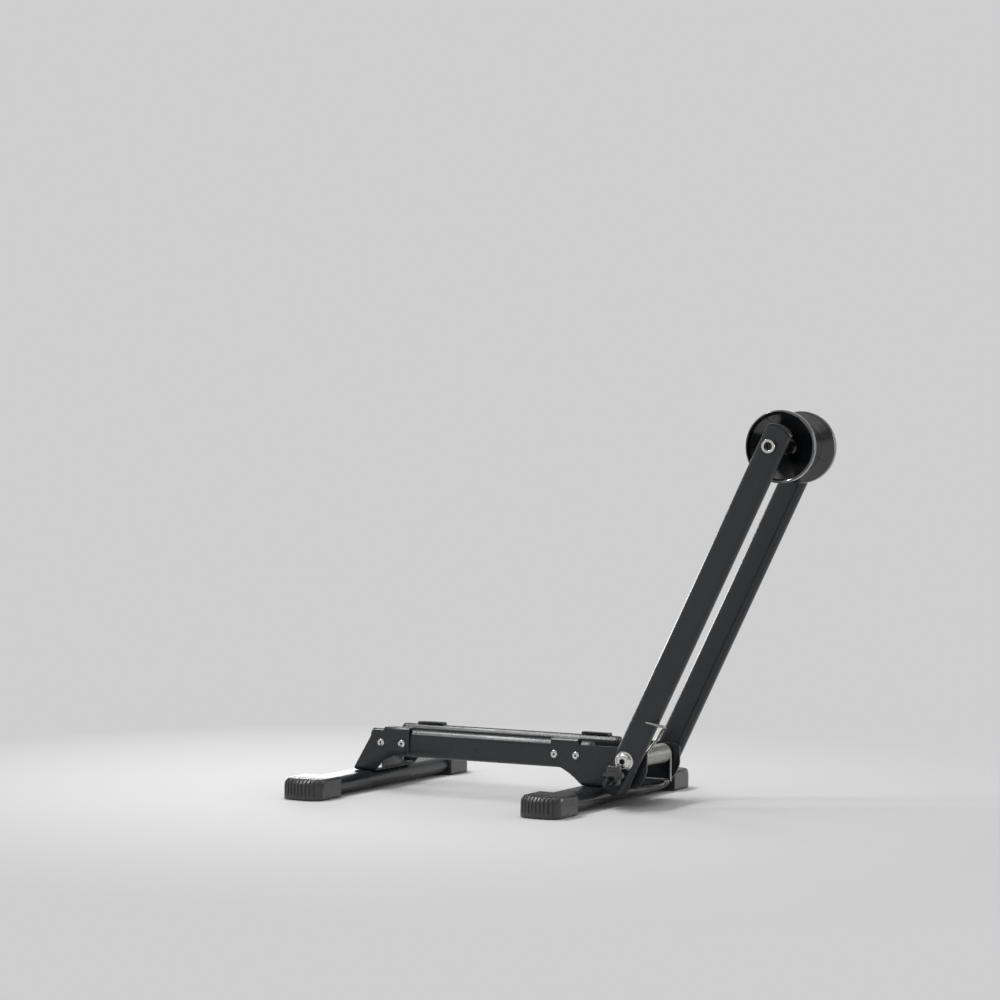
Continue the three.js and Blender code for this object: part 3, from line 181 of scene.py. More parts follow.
POWDER = surface("powder_coat_black", (0.016, 0.0178, 0.0205), 0.27, 0.05, grain=1100, grain_depth=0.05)
# Lighter colour on the rounded sheet edges: a painted highlight for light caught along the edges, not real
# wear.
EDGE_HIGHLIGHT_PAINT = surface("powder_coat_painted_edge_highlight", (0.16, 0.165, 0.17), 0.3, 0.08, grain=1500, grain_depth=0.04,
               mottle=0.6)
RUBBER = surface("ribbed_rubber", (0.042, 0.043, 0.043), 0.25, 0.06, grain=1800, grain_depth=0.06,
                 mottle=0.35)
GLOSS = surface("gloss_black_plastic", (0.006, 0.0068, 0.008), 0.14, 0.05, grain=300, grain_depth=0.02,
                coat=1.0)
# Lighter colour on the roller's rim face: a painted reflection of bright surroundings along the rim.
RIM_REFLECTION_PAINT = surface("plastic_rim_painted_reflection", (0.11, 0.115, 0.12), 0.2, 0.06, grain=900, grain_depth=0.02,
                 mottle=0.5)
NYLON = surface("black_nylon", (0.012, 0.0125, 0.013), 0.4, 0.06, grain=1500, grain_depth=0.04)
ZINC = surface("zinc_plate", (0.5, 0.5, 0.49), 0.34, 0.1, metallic=1.0, grain=1400, grain_depth=0.03,
               mottle=0.2)
WIRE = surface("spring_wire", (0.38, 0.38, 0.36), 0.2, 0.06, metallic=1.0, grain=1400, grain_depth=0.03,
               mottle=0.3)
NICKEL = surface("bright_nickel", (0.7, 0.7, 0.69), 0.2, 0.07, metallic=1.0, grain=1600, grain_depth=0.01,
                 mottle=0.12)
# Dark dull steel for sockets and rivet eyes: painted shade in the recesses.
RECESS_SHADE_PAINT = surface("painted_recess_shade", (0.05, 0.05, 0.05), 0.4, 0.1, metallic=1.0, grain=1600, grain_depth=0.02)
BRONZE = surface("sintered_bronze", (0.33, 0.2, 0.1), 0.5, 0.08, metallic=1.0, grain=2500, grain_depth=0.04)


# ---------------------------------------------------------------- mesh helpers

BEVEL_ANGLE = math.radians(32)


def mesh_from(verts, faces):
    mesh = bpy.data.meshes.new("shape")
    mesh.from_pydata([tuple(v) for v in verts], [], faces)
    clean(mesh)
    return mesh


def clean(mesh, merge=1e-4):
    work = bmesh.new()
    work.from_mesh(mesh)
    bmesh.ops.remove_doubles(work, verts=work.verts, dist=merge)
    bmesh.ops.dissolve_degenerate(work, edges=work.edges, dist=merge)
    bmesh.ops.recalc_face_normals(work, faces=work.faces)
    work.to_mesh(mesh)
    work.free()


def grid(rows, first=True, last=True):
    """Rows of points, each a closed loop, joined to the next; first and last say which ends are closed."""
    count = len(rows[0])
    verts = [p for row in rows for p in row]
    faces = []
    for r in range(len(rows) - 1):
        for i in range(count):
            j = (i + 1) % count
            faces.append((r * count + i, r * count + j, (r + 1) * count + j, (r + 1) * count + i))
    if first:
        faces.append(tuple(range(count)))
    if last:
        faces.append(tuple(range((len(rows) - 1) * count, len(rows) * count)))
    return mesh_from(verts, faces)


def prism(outline, length, swap=Matrix(), middle=(0, 0, 0)):
    """An outline extruded by length about its middle, turned by a swap, then moved."""
    turn = Matrix.Translation(middle) @ swap
    return grid([[turn @ Vector((x, y, z)) for x, y in outline] for z in (-length / 2, length / 2)])


def arc(x, y, radius, start, end, steps):
    """Points on an arc, with angles in quarter turns."""
    return [(x + radius * math.cos(QUARTER * (start + (end - start) * i / steps)),
             y + radius * math.sin(QUARTER * (start + (end - start) * i / steps))) for i in range(steps + 1)]


def bezier(*controls, steps=14):
    points = []
    for i in range(steps + 1):
        level, t = [Vector(c) for c in controls], i / steps
        while len(level) > 1:
            level = [a.lerp(b, t) for a, b in zip(level, level[1:])]
        points.append(tuple(level[0]))
    return points


def oval(width, depth, steps=14, spans=1):
    """A flat oval, with its straights divided into spans."""
    radius, straight = depth / 2, (width - depth) / 2
    run = [straight * (1 - 2 * i / spans) for i in range(1, spans)]
    return (arc(straight, 0, radius, -1, 1, steps) + [(x, radius) for x in run]
            + arc(-straight, 0, radius, 1, 3, steps) + [(-x, -radius) for x in run])


def hexagon(flats):
    reach = flats / 2 / math.cos(math.pi / 6)
    return [(reach * math.cos(a), reach * math.sin(a)) for a in [(i + 0.5) * math.pi / 3 for i in range(6)]]


def turned(profile, steps=64, angles=None, shape=None):
    """Points (radius, y) turned about the Y axis, and closed into a ring unless they start on the axis.
    shape may move a point (radius, y, angle)."""
    angles = angles or [i / steps * 2 * math.pi for i in range(steps)]
    rows = []
    for radius, y in profile:
        row = []
        for a in angles:
            r, h = shape(radius, y, a) if shape else (radius, y)
            row.append((r * math.cos(a), h, r * math.sin(a)))
        rows.append(row)
    if profile[0][0] > 0:
        rows.append(rows[0])
    return grid(rows, False, False)


def pin(radius, low, high, steps=48, chamfer=0.0):
    c = chamfer
    return turned([(0, low), (radius - c, low), (radius, low + c), (radius, high - c), (radius - c, high),
                   (0, high)], steps)


def ring(inner, outer, low, high, steps=64, chamfer=0.2):
    c = chamfer
    return turned([(inner, low + c), (inner + c, low), (outer - c, low), (outer, low + c), (outer, high - c),
                   (outer - c, high), (inner + c, high), (inner, high - c)], steps)


def moved(mesh, matrix):
    mesh.transform(matrix)
    return mesh


def at(mesh, x=0, y=0, z=0):
    return moved(mesh, Matrix.Translation((x, y, z)))


def bore(radius, low, high, x=0, z=0):
    return at(pin(radius, low, high, 40), x, 0, z)


def hex_along_y(flats, length, middle=0):
    return at(prism(hexagon(flats), length, Z_TO_Y), 0, middle, 0)


def facing(side):
    """Turns a shape made for the far side to face the near one."""
    return Matrix() if side > 0 else Matrix.Rotation(math.pi, 4, "Z")


def within(radius, above=0):
    """A test for the centres of faces round the Y axis and above a height along it."""
    return lambda centre: math.hypot(centre.x, centre.z) < radius and centre.y > above


def evaluated(base):
    """The mesh of an object with its modifiers applied."""
    bpy.context.view_layer.update()
    return bpy.data.meshes.new_from_object(base.evaluated_get(bpy.context.evaluated_depsgraph_get()))


def shown(name, mesh):
    thing = bpy.data.objects.new(name, mesh)
    bpy.context.scene.collection.objects.link(thing)
    return thing


def combine(body, tools, operation):
    """Boolean of a mesh with others."""
    base = shown("base", body)
    extra = []
    for tool in tools:
        other = shown("tool", tool)
        extra.append(other)
        step = base.modifiers.new("cut", "BOOLEAN")
        step.operation = operation
        step.object = other
        step.solver = "EXACT"
    result = evaluated(base)
    for done in [base, *extra]:
        bpy.data.objects.remove(done)
    clean(result, 1e-3)
    return result


def softened(mesh, width, segments=2):
    """Small rounds on the sharp edges of a mesh; their faces carry material number 1, the lighter painted edge
    highlight.
    """
    base = shown("base", mesh)
    step = base.modifiers.new("rounds", "BEVEL")
    step.width = width
    step.segments = segments
    step.limit_method = "ANGLE"
    step.angle_limit = BEVEL_ANGLE
    step.miter_outer = "MITER_ARC"
    step.material = 1
    mesh.materials.clear()
    for material in (POWDER, EDGE_HIGHLIGHT_PAINT):
        mesh.materials.append(material)
    result = evaluated(base)
    bpy.data.objects.remove(base)
    return result


def finished(name, mesh, place, material, body, nodes, sharp=34, second=None, pick=None):
    """A mesh in mm, put in its place as a piece in metres that rides on a body and stands for CAD nodes.
    A second material goes to the faces that pick(centre in mm) names, or else to the rounded edges."""
    marks = [int(pick(face.center)) if pick else face.material_index for face in mesh.polygons]
    moved(mesh, Matrix.Scale(MM, 4) @ place)
    mesh.name = name
    mesh.polygons.foreach_set("use_smooth", [True] * len(mesh.polygons))
    mesh.set_sharp_from_angle(angle=math.radians(sharp))
    mesh.materials.clear()
    mesh.materials.append(material)
    if second:
        mesh.materials.append(second)
    mesh.polygons.foreach_set("material_index", [mark if second else 0 for mark in marks])
    piece = shown(name, mesh)
    if body:
        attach(piece, body)
    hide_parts(*nodes)
    return piece


# ---------------------------------------------------------------- tubes and plugs

EDGE_BREAK = 0.25
ROUND_SPANS = 12
STEM_FIT = TUBE_WALL + SEAT_GAP
RAIL_DOME, DOME_EDGE, DOME_STEPS, DOME_TURN, DOME_SPREAD = 4, 0.3, 8, 0.86, 0.42


def oval_tube(width, depth, low, high, swap=Matrix(), end_round=None):
    """A flat-oval tube along Z from low to high, with slightly broken outer ends, which may be cut to an
    arc."""
    def drop(x):
        return end_round - math.sqrt(end_round ** 2 - x ** 2) if end_round else 0

    c = EDGE_BREAK
    outer, inner, trimmed = (oval(width - 2 * inset, depth - 2 * inset, spans=ROUND_SPANS if end_round else 1)
                             for inset in (0, TUBE_WALL, c))
    rows = [(inner, low, 1), (trimmed, low, 1), (outer, low + c, 1), (outer, high - c, -1),
            (trimmed, high, -1), (inner, high, -1), (inner, low, 1)]
    return grid([[swap @ Vector((x, y, z + up * drop(x))) for x, y in outline] for outline, z, up in rows],
                False, False)


def domed_plug(dome):
    """A domed plug; the tube's end is at z = 0 and the dome points along +Z."""
    rows = [(STEM_FIT, -PLUG_INSERT), (STEM_FIT, SEAT_GAP), (DOME_EDGE, SEAT_GAP), (0, SEAT_GAP + DOME_EDGE),
            (0, SEAT_GAP + PLUG_RIM)]
    for i in range(1, DOME_STEPS + 1):
        angle = i / DOME_STEPS * QUARTER * DOME_TURN
        rows.append(((1 - math.cos(angle)) * TUBE_DEPTH * DOME_SPREAD,
                     SEAT_GAP + PLUG_RIM + math.sin(angle) * (dome - PLUG_RIM)))
    return grid([[(x, y, z) for x, y in oval(TUBE_WIDTH - 2 * inset, TUBE_DEPTH - 2 * inset)]
                 for inset, z in rows])


def round_plug():
    """The plug of a round arm end: a rim that follows the arc, softly crowned across, and a stem inside."""
    def loop(inset, reach, across=1.0):
        outline = oval(TUBE_WIDTH - 2 * inset, TUBE_DEPTH - 2 * inset, spans=ROUND_SPANS)
        radius = ARM_END_ROUND + reach
        return [(x, y * across, math.sqrt(radius ** 2 - x ** 2) - ARM_END_ROUND) for x, y in outline]

    top = SEAT_GAP + PLUG_RIM
    shoulder, shoulder_inset, shoulder_rise, crown, steps = 1.0, 0.9, 0.7, 0.3, 4
    stem = [(x, y, -PLUG_INSERT - TUBE_WIDTH / 4) for x, y, _ in loop(STEM_FIT, 0)]
    rows = [stem, loop(STEM_FIT, SEAT_GAP), loop(EDGE_BREAK, SEAT_GAP), loop(0, SEAT_GAP + EDGE_BREAK),
            loop(0, top - shoulder)]
    for i in range(1, steps + 1):
        angle = i / steps * QUARTER
        rows.append(loop(shoulder_inset * (1 - math.cos(angle)),
                         top - shoulder + shoulder_rise * math.sin(angle)))
    for i in range(1, steps + 1):
        across = 1 - i / steps
        rows.append(loop(shoulder_inset, top - crown * across ** 2, across))
    return grid(rows, True, False)


for hand, side in HANDS:
    y = side * ARM_Y
    tube = at(oval_tube(TUBE_WIDTH, TUBE_DEPTH, -ARM_TAIL, ARM_LENGTH + ARM_HEAD, end_round=ARM_END_ROUND),
              0, y, 0)
    inner_face, outer_face = side * (ARM_INSIDE - PAST), side * (ARM_OUTSIDE + PAST)
    low, high = sorted((inner_face, outer_face))
    holes = [bore(BUSH_BORE, low, high), bore(AXLE_BORE, *sorted((inner_face, y)), 0, ARM_LENGTH),
             bore(SCREW_BORE, *sorted((y, outer_face)), 0, ARM_LENGTH)]
    if side < 0:
        holes.append(bore(BOLT_BORE, low, high, 0, -KNOB_BELOW))
    finished(f"arm_tube_{hand}", combine(tube, holes, "DIFFERENCE"), ARMS, POWDER, "arms", [f"arm_{hand}"])
    top = Matrix.Translation((0, y, ARM_LENGTH + ARM_HEAD))
    tail = Matrix.Translation((0, y, -ARM_TAIL)) @ Matrix.Rotation(math.pi, 4, "X")
    finished(f"top_plug_{hand}", round_plug(), ARMS @ top, NYLON, "arms", [f"arm_plug_top_{hand}"])
    finished(f"tail_plug_{hand}", round_plug(), ARMS @ tail, NYLON, "arms", [f"arm_plug_bottom_{hand}"])

    start, end = -FOOT_SPACING + BASE_TUBE_REAR, BASE_TUBE_FRONT
    tube = oval_tube(TUBE_WIDTH, TUBE_DEPTH, start, end, Matrix.Rotation(QUARTER, 4, "Y"))
    low, high = sorted((0, side * TUBE_DEPTH))
    rivet_places = [*RIVETS_FRONT, *[x - FOOT_SPACING for x in RIVETS_REAR]]
    holes = [bore(RIVET_BORE, low, high, x) for x in rivet_places]
    rail = FRONT @ Matrix.Translation((0, side * BASE_TUBE_Y, BASE_TUBE_HEIGHT))
    finished(f"rail_{hand}", combine(tube, holes, "DIFFERENCE"), rail, POWDER, "base", [f"base_tube_{hand}"])
    for place, x, turn in (("front", end, 1), ("rear", start, -1)):
        tube_end = rail @ Matrix.Translation((x, 0, 0)) @ Matrix.Rotation(turn * QUARTER, 4, "Y")
        finished(f"rail_plug_{hand}_{place}", domed_plug(RAIL_DOME), tube_end, NYLON, "base",
                 [f"base_plug_{hand}_{place}"])


# ---------------------------------------------------------------- feet

RIBS, RIB_PITCH, GROOVE, GROOVE_DEPTH = 8, 4.3, 1.7, 1.3
LIP_INSIDE, LIP_OUTSIDE = 0.55, 0.45
RIB_FOOT, FOOT_FADE = 5, 0.8
RIB_REACH, REACH_FADE, REACH_STOP = 26, 1.0, 1.5
CORNER, CORNER_TURN, BROW, SHOULDER, SKIRT = 13.5, math.radians(75), 8.5, 3.5, 2.4
BACK_EDGE_LOW, BACK_EDGE_HIGH = 0.6, 0.8
SKIRT_STEPS, WALL_STEPS, BROW_STEPS, ROOF_STEPS = 5, 10, 10, 12
WIDE_STATIONS, WIDE_SHARE = 110, 0.985
SIDE_STATIONS, SIDE_ROUND = 12, 0.35


def smooth(value, low, high):
    t = min(max((value - low) / (high - low), 0), 1)
    return t * t * (3 - 2 * t)


def nose_at(x):
    """Where the cap's nose lies at a distance x from its middle: corners, and a slight bulge between them."""
    half = CAP_WIDTH / 2
    centre = half - CORNER
    edge = centre + CORNER * math.cos(CORNER_TURN)
    bulge = edge / math.tan(CORNER_TURN)
    shoulder = CAP_END - CORNER * math.sin(CORNER_TURN) - bulge / 2
    if abs(x) > edge:
        return shoulder + math.sqrt(max(CORNER ** 2 - (abs(x) - centre) ** 2, 0))
    return CAP_END - bulge / 2 * (x / edge) ** 2


def roof_at(x):
    over = max(abs(x) - (CAP_WIDTH / 2 - SHOULDER), 0)
    return CAP_HEIGHT - SHOULDER + math.sqrt(max(SHOULDER ** 2 - over ** 2, 0))


def floor_at(x):
    over = max(abs(x) - (CAP_WIDTH / 2 - SKIRT), 0)
    return SKIRT - math.sqrt(max(SKIRT ** 2 - over ** 2, 0))


def groove_at(x):
    """Depth of the grooves that bound the ribs, with rounded lips; one groove lies in the middle."""
    number = round(x / RIB_PITCH)
    if abs(number) > RIBS / 2:
        return 0
    from_middle = abs(x - number * RIB_PITCH)
    return GROOVE_DEPTH * (1 - smooth(from_middle, GROOVE / 2 - LIP_INSIDE, GROOVE / 2 + LIP_OUTSIDE))


def cap_column(x):
    """The side view of the cap at x: floor, nose, brow, roof and back."""
    nose, roof, back = nose_at(x), roof_at(x), CAP_END - CAP_LENGTH
    depth, low = groove_at(x), floor_at(x)
    points = [(back, low + BACK_EDGE_LOW), (back + BACK_EDGE_LOW, low)]
    for i in range(SKIRT_STEPS + 1):
        angle = i / SKIRT_STEPS * QUARTER
        points.append((nose - SKIRT * (1 - math.sin(angle)), low + SKIRT * (1 - math.cos(angle))))
    low += SKIRT
    brow = min(BROW, roof - low - 1)
    wall = [low + (roof - brow - low) * i / WALL_STEPS for i in range(1, WALL_STEPS + 1)]
    points += [(nose - depth * smooth(z, RIB_FOOT - FOOT_FADE, RIB_FOOT + FOOT_FADE), z) for z in wall]
    for i in range(1, BROW_STEPS + 1):
        angle = i / BROW_STEPS * QUARTER
        r = brow - depth
        points.append((nose - brow + r * math.cos(angle), roof - brow + r * math.sin(angle)))
    reach = CAP_END - RIB_REACH
    for i in range(1, ROOF_STEPS + 1):
        y = nose - brow + (reach - REACH_STOP - nose + brow) * i / ROOF_STEPS
        points.append((y, roof - depth * smooth(y, reach - REACH_FADE, reach + REACH_FADE)))
    points += [(back + BACK_EDGE_HIGH, roof), (back, roof - BACK_EDGE_HIGH)]
    return points


def cap_mesh():
    half = CAP_WIDTH / 2
    stations = {round(half * i / WIDE_STATIONS * WIDE_SHARE, 4)
                for i in range(-WIDE_STATIONS, WIDE_STATIONS + 1)}
    for i in range(SIDE_STATIONS + 1):
        near_side = round(half - SIDE_ROUND * (1 - math.cos(i / SIDE_STATIONS * QUARTER)), 4)
        stations.update((near_side, -near_side))
    body = grid([[(x, y, z) for y, z in cap_column(x)] for x in sorted(stations)])
    depth, over = CAP_LENGTH - CAP_NOSE, 4 * PAST
    socket = prism(oval(FOOT_WIDTH + 2 * SEAT_GAP, FOOT_HEIGHT + 2 * SEAT_GAP), depth + over, ALONG_Y,
                   (0, CAP_END - CAP_NOSE - depth / 2 - over / 2, FOOT_BOTTOM + FOOT_HEIGHT / 2))
    return combine(body, [socket], "DIFFERENCE")


def foot_bolt_place(side, height=0):
    """Where a foot bolt stands; a shape made along Y stands up along Z."""
    return Matrix.Translation((FOOT_BOLTS[0], side * FOOT_BOLTS[1], height)) @ Y_TO_Z


cap = cap_mesh()
for place, station in (("front", FRONT), ("rear", REAR)):
    tube = oval_tube(FOOT_WIDTH, FOOT_HEIGHT, -FOOT_LENGTH / 2, FOOT_LENGTH / 2, Z_TO_Y)
    at(tube, 0, 0, FOOT_BOTTOM + FOOT_HEIGHT / 2)
    holes = [moved(pin(INSERT_BORE, FOOT_TOP - 2 * TUBE_WALL, FOOT_TOP + PAST, 40), foot_bolt_place(side))
             for _, side in HANDS]
    finished(f"foot_{place}", combine(tube, holes, "DIFFERENCE"), station, POWDER, "base",
             [f"{place}_foot_tube"])
    for hand, side in HANDS:
        finished(f"cap_{place}_{hand}", cap.copy(), station @ facing(side), RUBBER, "base",
                 [f"foot_cap_{place}_{hand}"], 40)


# ---------------------------------------------------------------- brackets

AMPLE, THROUGH = 4, 60
FLANGE = 13
FRONT_BACK, FRONT_STEP, FRONT_NOSE = -48.5, -17, 64
STEP_ROUND, NOSE_ROUND = 3, 7
REAR_BACK, REAR_STEP, REAR_FLANGE, REAR_FRONT = -7.5, 16.5, 29, 59.5
FRONT_WEB_INNER, REAR_WEB_INNER = -10, 18
WEB_FRONT = PIVOT_AHEAD + SPRING_RADIUS - SPRING_WIRE / 2 - SPRING_ROOM
CRADLE_INSET, CRADLE_HALF, CRADLE_RISE, CRADLE_CORNER, CRADLE_HOLLOW = 2.75, 23, 22.5, 3, 8
TONGUE_REACH, TONGUE_WIDTH = 8, 70
BRACKET_EDGE = 0.6


def channel():
    """The folded section: web below, two sides, two flanges folded inwards at the top."""
    w, r, t = PLATE_OUTSIDE, SHEET_BEND, SHEET
    low, high = WEB_BOTTOM + r, BRACKET_TOP - r
    flange = w - FLANGE
    left = [(-flange, BRACKET_TOP)] + arc(-w + r, high, r, 1, 2, 8) + arc(-w + r, low, r, 2, 3, 8)
    inner = [(flange, BRACKET_TOP - t)] + arc(w - r, high, r - t, 1, 0, 8) + arc(w - r, low, r - t, 0, -1, 8)
    outline = left + [(-x, z) for x, z in reversed(left)]
    return outline + inner + [(-x, z) for x, z in reversed(inner)]


def front_outline():
    tube_side, low, under = BRACKET_TOP - 27.5, BRACKET_TOP - 6, WEB_BOTTOM - PAST
    outline = [(FRONT_BACK, tube_side), (FRONT_BACK, BRACKET_TOP + PAST), (FRONT_STEP, BRACKET_TOP + PAST)]
    outline += arc(FRONT_STEP + STEP_ROUND, low + STEP_ROUND, STEP_ROUND, 2, 3, 8)
    outline += arc(FRONT_NOSE - NOSE_ROUND, low - NOSE_ROUND, NOSE_ROUND, 1, 0, 10)
    outline += bezier((FRONT_NOSE, WEB_BOTTOM + 21), (61, WEB_BOTTOM + 8), (WEB_FRONT, WEB_TOP))
    outline += [(WEB_FRONT - 3, under)]
    return outline + bezier((FRONT_WEB_INNER, under), (-27, WEB_BOTTOM + 17), (FRONT_BACK, tube_side))[:-1]


def rear_outline():
    tube_side, low, under = BRACKET_TOP - 29.5, BRACKET_TOP - SHEET_BEND, WEB_BOTTOM - PAST
    outline = bezier((REAR_BACK, WEB_BOTTOM + 3), (REAR_BACK, under), (REAR_BACK + 7, under), steps=6)
    outline += bezier((REAR_WEB_INNER, under), (28, WEB_BOTTOM + 15), (40, tube_side), (REAR_FRONT, tube_side))
    return outline + [(REAR_FRONT, BRACKET_TOP + PAST), (REAR_FLANGE, BRACKET_TOP + PAST), (REAR_FLANGE, low),
                      (REAR_STEP, low)]


def cradle(x):
    """The upright lip at the web's inner edge, hollowed on top."""
    half, top, bottom = CRADLE_HALF, WEB_BOTTOM + CRADLE_RISE, WEB_BOTTOM + SHEET / 2
    outline = [(-half, bottom), (half, bottom), (half - CRADLE_CORNER, top)]
    outline += bezier((half - CRADLE_HOLLOW, top), (0, top - CRADLE_HOLLOW), (-half + CRADLE_HOLLOW, top))
    return prism(outline + [(-half + CRADLE_CORNER, top)], SHEET, ALONG_X, (x, 0, 0))


def tongue(back):
    """The bowed front edge of the web."""
    tip = back + 2 * (TONGUE_REACH + SHEET_BEND)
    outline = bezier((back, -TONGUE_WIDTH / 2), (tip, 0), (back, TONGUE_WIDTH / 2))
    return prism(outline, SHEET, middle=(0, 0, WEB_BOTTOM + SHEET / 2))


def bracket(place, outline, additions, holes, station):
    folded = prism(channel(), AMPLE * FOOT_SPACING, ALONG_X)
    sides = prism(outline, AMPLE * PLATE_OUTSIDE, ALONG_Y)
    sheet = combine(folded, [sides], "INTERSECT")
    sheet = combine(sheet, additions, "UNION")
    for _, side in HANDS:
        holes.append(moved(pin(BOLT_BORE, WEB_BOTTOM - PAST, WEB_TOP + PAST, 32), foot_bolt_place(side)))
    sheet = combine(sheet, holes, "DIFFERENCE")
    # The rounded edges of the sheet get the lighter painted edge highlight.
    finished(f"{place}_bracket_sheet", softened(sheet, BRACKET_EDGE, 3), station, POWDER, "base",
             [f"{place}_bracket"], second=EDGE_HIGHLIGHT_PAINT)


def rivet_bores(places):
    return [bore(RIVET_BORE, -THROUGH, THROUGH, x, BASE_TUBE_HEIGHT) for x in places]


pivot_bore = bore(AXLE_BORE, -THROUGH, THROUGH, PIVOT_AHEAD, PIVOT_HEIGHT)
bracket("front", front_outline(), [cradle(FRONT_WEB_INNER + CRADLE_INSET), tongue(WEB_FRONT - SHEET_BEND)],
        rivet_bores(RIVETS_FRONT) + [pivot_bore], FRONT)
bracket("rear", rear_outline(), [cradle(REAR_WEB_INNER - CRADLE_INSET)], rivet_bores(RIVETS_REAR), REAR)


# ---------------------------------------------------------------- fasteners

# Profiles are points (radius, y) from the face that the piece sits on
FLANGE_BOLT = [(0, -13), (2.7, -13), (BOLT, -12.6), (BOLT, 0), (5.8, 0), (6, 0.2), (6, 0.6), (4.9, 1.5),
               (0, 1.5)]
BOLT_HEX, BOLT_HEX_HEIGHT, BOLT_HEX_MIDDLE, BOLT_HEX_EDGE = 10, 4, 3.2, 0.35
RIVET_EYE = [(0, 0.1), (1.1, 0.1), (1.15, 1.0), (1.25, 1.2), (1.5, 1.28)]
RIVET_TAIL = [(4.15, 0), (RIVET, 0), (RIVET, -4.9), (3.3, -5.9), (3.2, -7), (0, -8.2)]
RIVET_LIP, RIVET_SPREAD, RIVET_EDGE, RIVET_DOME, RIVET_STEPS = 1.5, 2.65, 0.25, 1.03, 6
EYE_RADIUS = 1.19
PIVOT_RIM, PIVOT_TOP = ARM_FACE + 1.6, ARM_FACE + 6.6
PIVOT_SOCKET, PIVOT_SOCKET_LENGTH, PIVOT_SOCKET_RADIUS = 6, 8, 3.6
NUT_HEX, NUT_HEX_HEIGHT, NUT_HEX_MIDDLE, NUT_HEX_EDGE = 13, 4.6, ARM_FACE + 3, 0.4
CROWN_FLAT, CROWN_ROUND, CROWN_STEPS = 4.5, (1.7, 1.4), 5
SLEEVE = 7.3
SCREW_TOP = ARM_FACE + 6.3
SCREW_SOCKET, SCREW_SOCKET_LENGTH, SCREW_RECESS = 5, 6, 4.55
SPACER, HUB_END = 5.4, 25.5


def rivet():
    """Blind rivet along +Y from the plate's face: domed head with a deep eye, shank and set bulb."""
    head = list(RIVET_EYE)
    for i in range(1, RIVET_STEPS + 1):
        angle = i / RIVET_STEPS * QUARTER
        head.append((RIVET_LIP + RIVET_SPREAD * math.sin(angle), RIVET_EDGE + RIVET_DOME * math.cos(angle)))
    return turned(head + RIVET_TAIL, 40)


for place, station, places in (("front", FRONT, RIVETS_FRONT), ("rear", REAR, RIVETS_REAR)):
    for hand, side in HANDS:
        for number, x in enumerate(places, 1):
            spot = station @ Matrix.Translation((x, side * (PLATE_OUTSIDE + SEAT_GAP), BASE_TUBE_HEIGHT))
            # The rivet's eye gets painted recess shade.
            finished(f"blind_rivet_{place}_{hand}_{number}", rivet(), spot @ facing(side), NICKEL, "base",
                     [f"rivet_{place}_{hand}_{number}"], second=RECESS_SHADE_PAINT, pick=within(EYE_RADIUS))
        hexed = at(softened(hex_along_y(BOLT_HEX, BOLT_HEX_HEIGHT), BOLT_HEX_EDGE), 0, BOLT_HEX_MIDDLE, 0)
        bolt = combine(turned(FLANGE_BOLT, 48), [hexed], "UNION")
        finished(f"flange_bolt_{place}_{hand}", bolt, station @ foot_bolt_place(side, WEB_TOP + SEAT_GAP), ZINC,
                 "base", [f"foot_bolt_{place}_{hand}"])


def pivot_head():
    """A bright flat rim on the arm's face, round a dome with a hexagon socket in its flat top."""
    face, rim, top = ARM_FACE, PIVOT_RIM, PIVOT_TOP
    dome_start, dome_spread, steps = 5.0, 3.5, 8
    profile = [(0, top), (4.5, top), (dome_start, top - 0.15)]
    for i in range(1, steps + 1):
        angle = i / steps * QUARTER
        profile.append((dome_start + dome_spread * math.sin(angle),
                        rim + 0.5 + (top - rim - 0.65) * math.cos(angle)))
    profile += [(8.6, rim), (9.9, rim), (10.2, rim - 0.15), (10.3, rim - 0.5), (10.3, face), (AXLE, face)]
    end = -(top - 1.9)
    head = turned(profile + [(AXLE, end), (0, end)], 72)
    return combine(head, [hex_along_y(PIVOT_SOCKET, PIVOT_SOCKET_LENGTH, top)], "DIFFERENCE")


def cap_nut():
    """A flanged nut with a crown over the end of the pivot bolt."""
    face, inner = ARM_FACE, AXLE_BORE
    flange = turned([(inner, face), (10.2, face), (10.5, face + 0.3), (10.5, face + 1.0), (8, face + 1.7),
                     (inner, face + 1.7)], 64)
    nut = combine(flange, [softened(hex_along_y(NUT_HEX, NUT_HEX_HEIGHT, NUT_HEX_MIDDLE), NUT_HEX_EDGE)],
                  "UNION")
    across, up = CROWN_ROUND
    profile = [(0, face + 6.6)]
    for i in range(1, CROWN_STEPS + 1):
        angle = i / CROWN_STEPS * QUARTER
        profile.append((CROWN_FLAT + across * math.sin(angle), face + 5.2 + up * math.cos(angle)))
    crown = turned(profile + [(6.2, face + 4.0), (0, face + 4.0)], 48)
    return combine(combine(nut, [crown], "UNION"), [pin(inner, face - PAST, face + 5)], "DIFFERENCE")


def flanged_bush():
    low, high = PLATE_OUTSIDE + SEAT_GAP, ARM_INSIDE - SEAT_GAP
    inner, outer, chamfer = AXLE_BORE, 9.5, 0.2
    return turned([(inner, low), (outer - chamfer, low), (outer, low + chamfer), (outer, high - chamfer),
                   (outer - chamfer, high), (BUSH, high), (BUSH, ARM_OUTSIDE), (inner, ARM_OUTSIDE)], 56)


def cap_screw():
    """A round head with a recess and a hexagon socket in it, and a short shank."""
    face, top = ARM_FACE, SCREW_TOP
    head = turned([(0, top - 1.6), (4.2, top - 1.6), (4.5, top - 1.3), (4.6, top - 0.2), (4.9, top), (6.5, top),
                   (7.1, top - 0.25), (7.3, top - 0.8), (7.3, face + 0.3), (7.1, face), (SCREW, face),
                   (SCREW, face - 14.8), (2, face - 15.3), (0, face - 15.3)], 64)
    return combine(head, [hex_along_y(SCREW_SOCKET, SCREW_SOCKET_LENGTH, top - 1.4)], "DIFFERENCE")
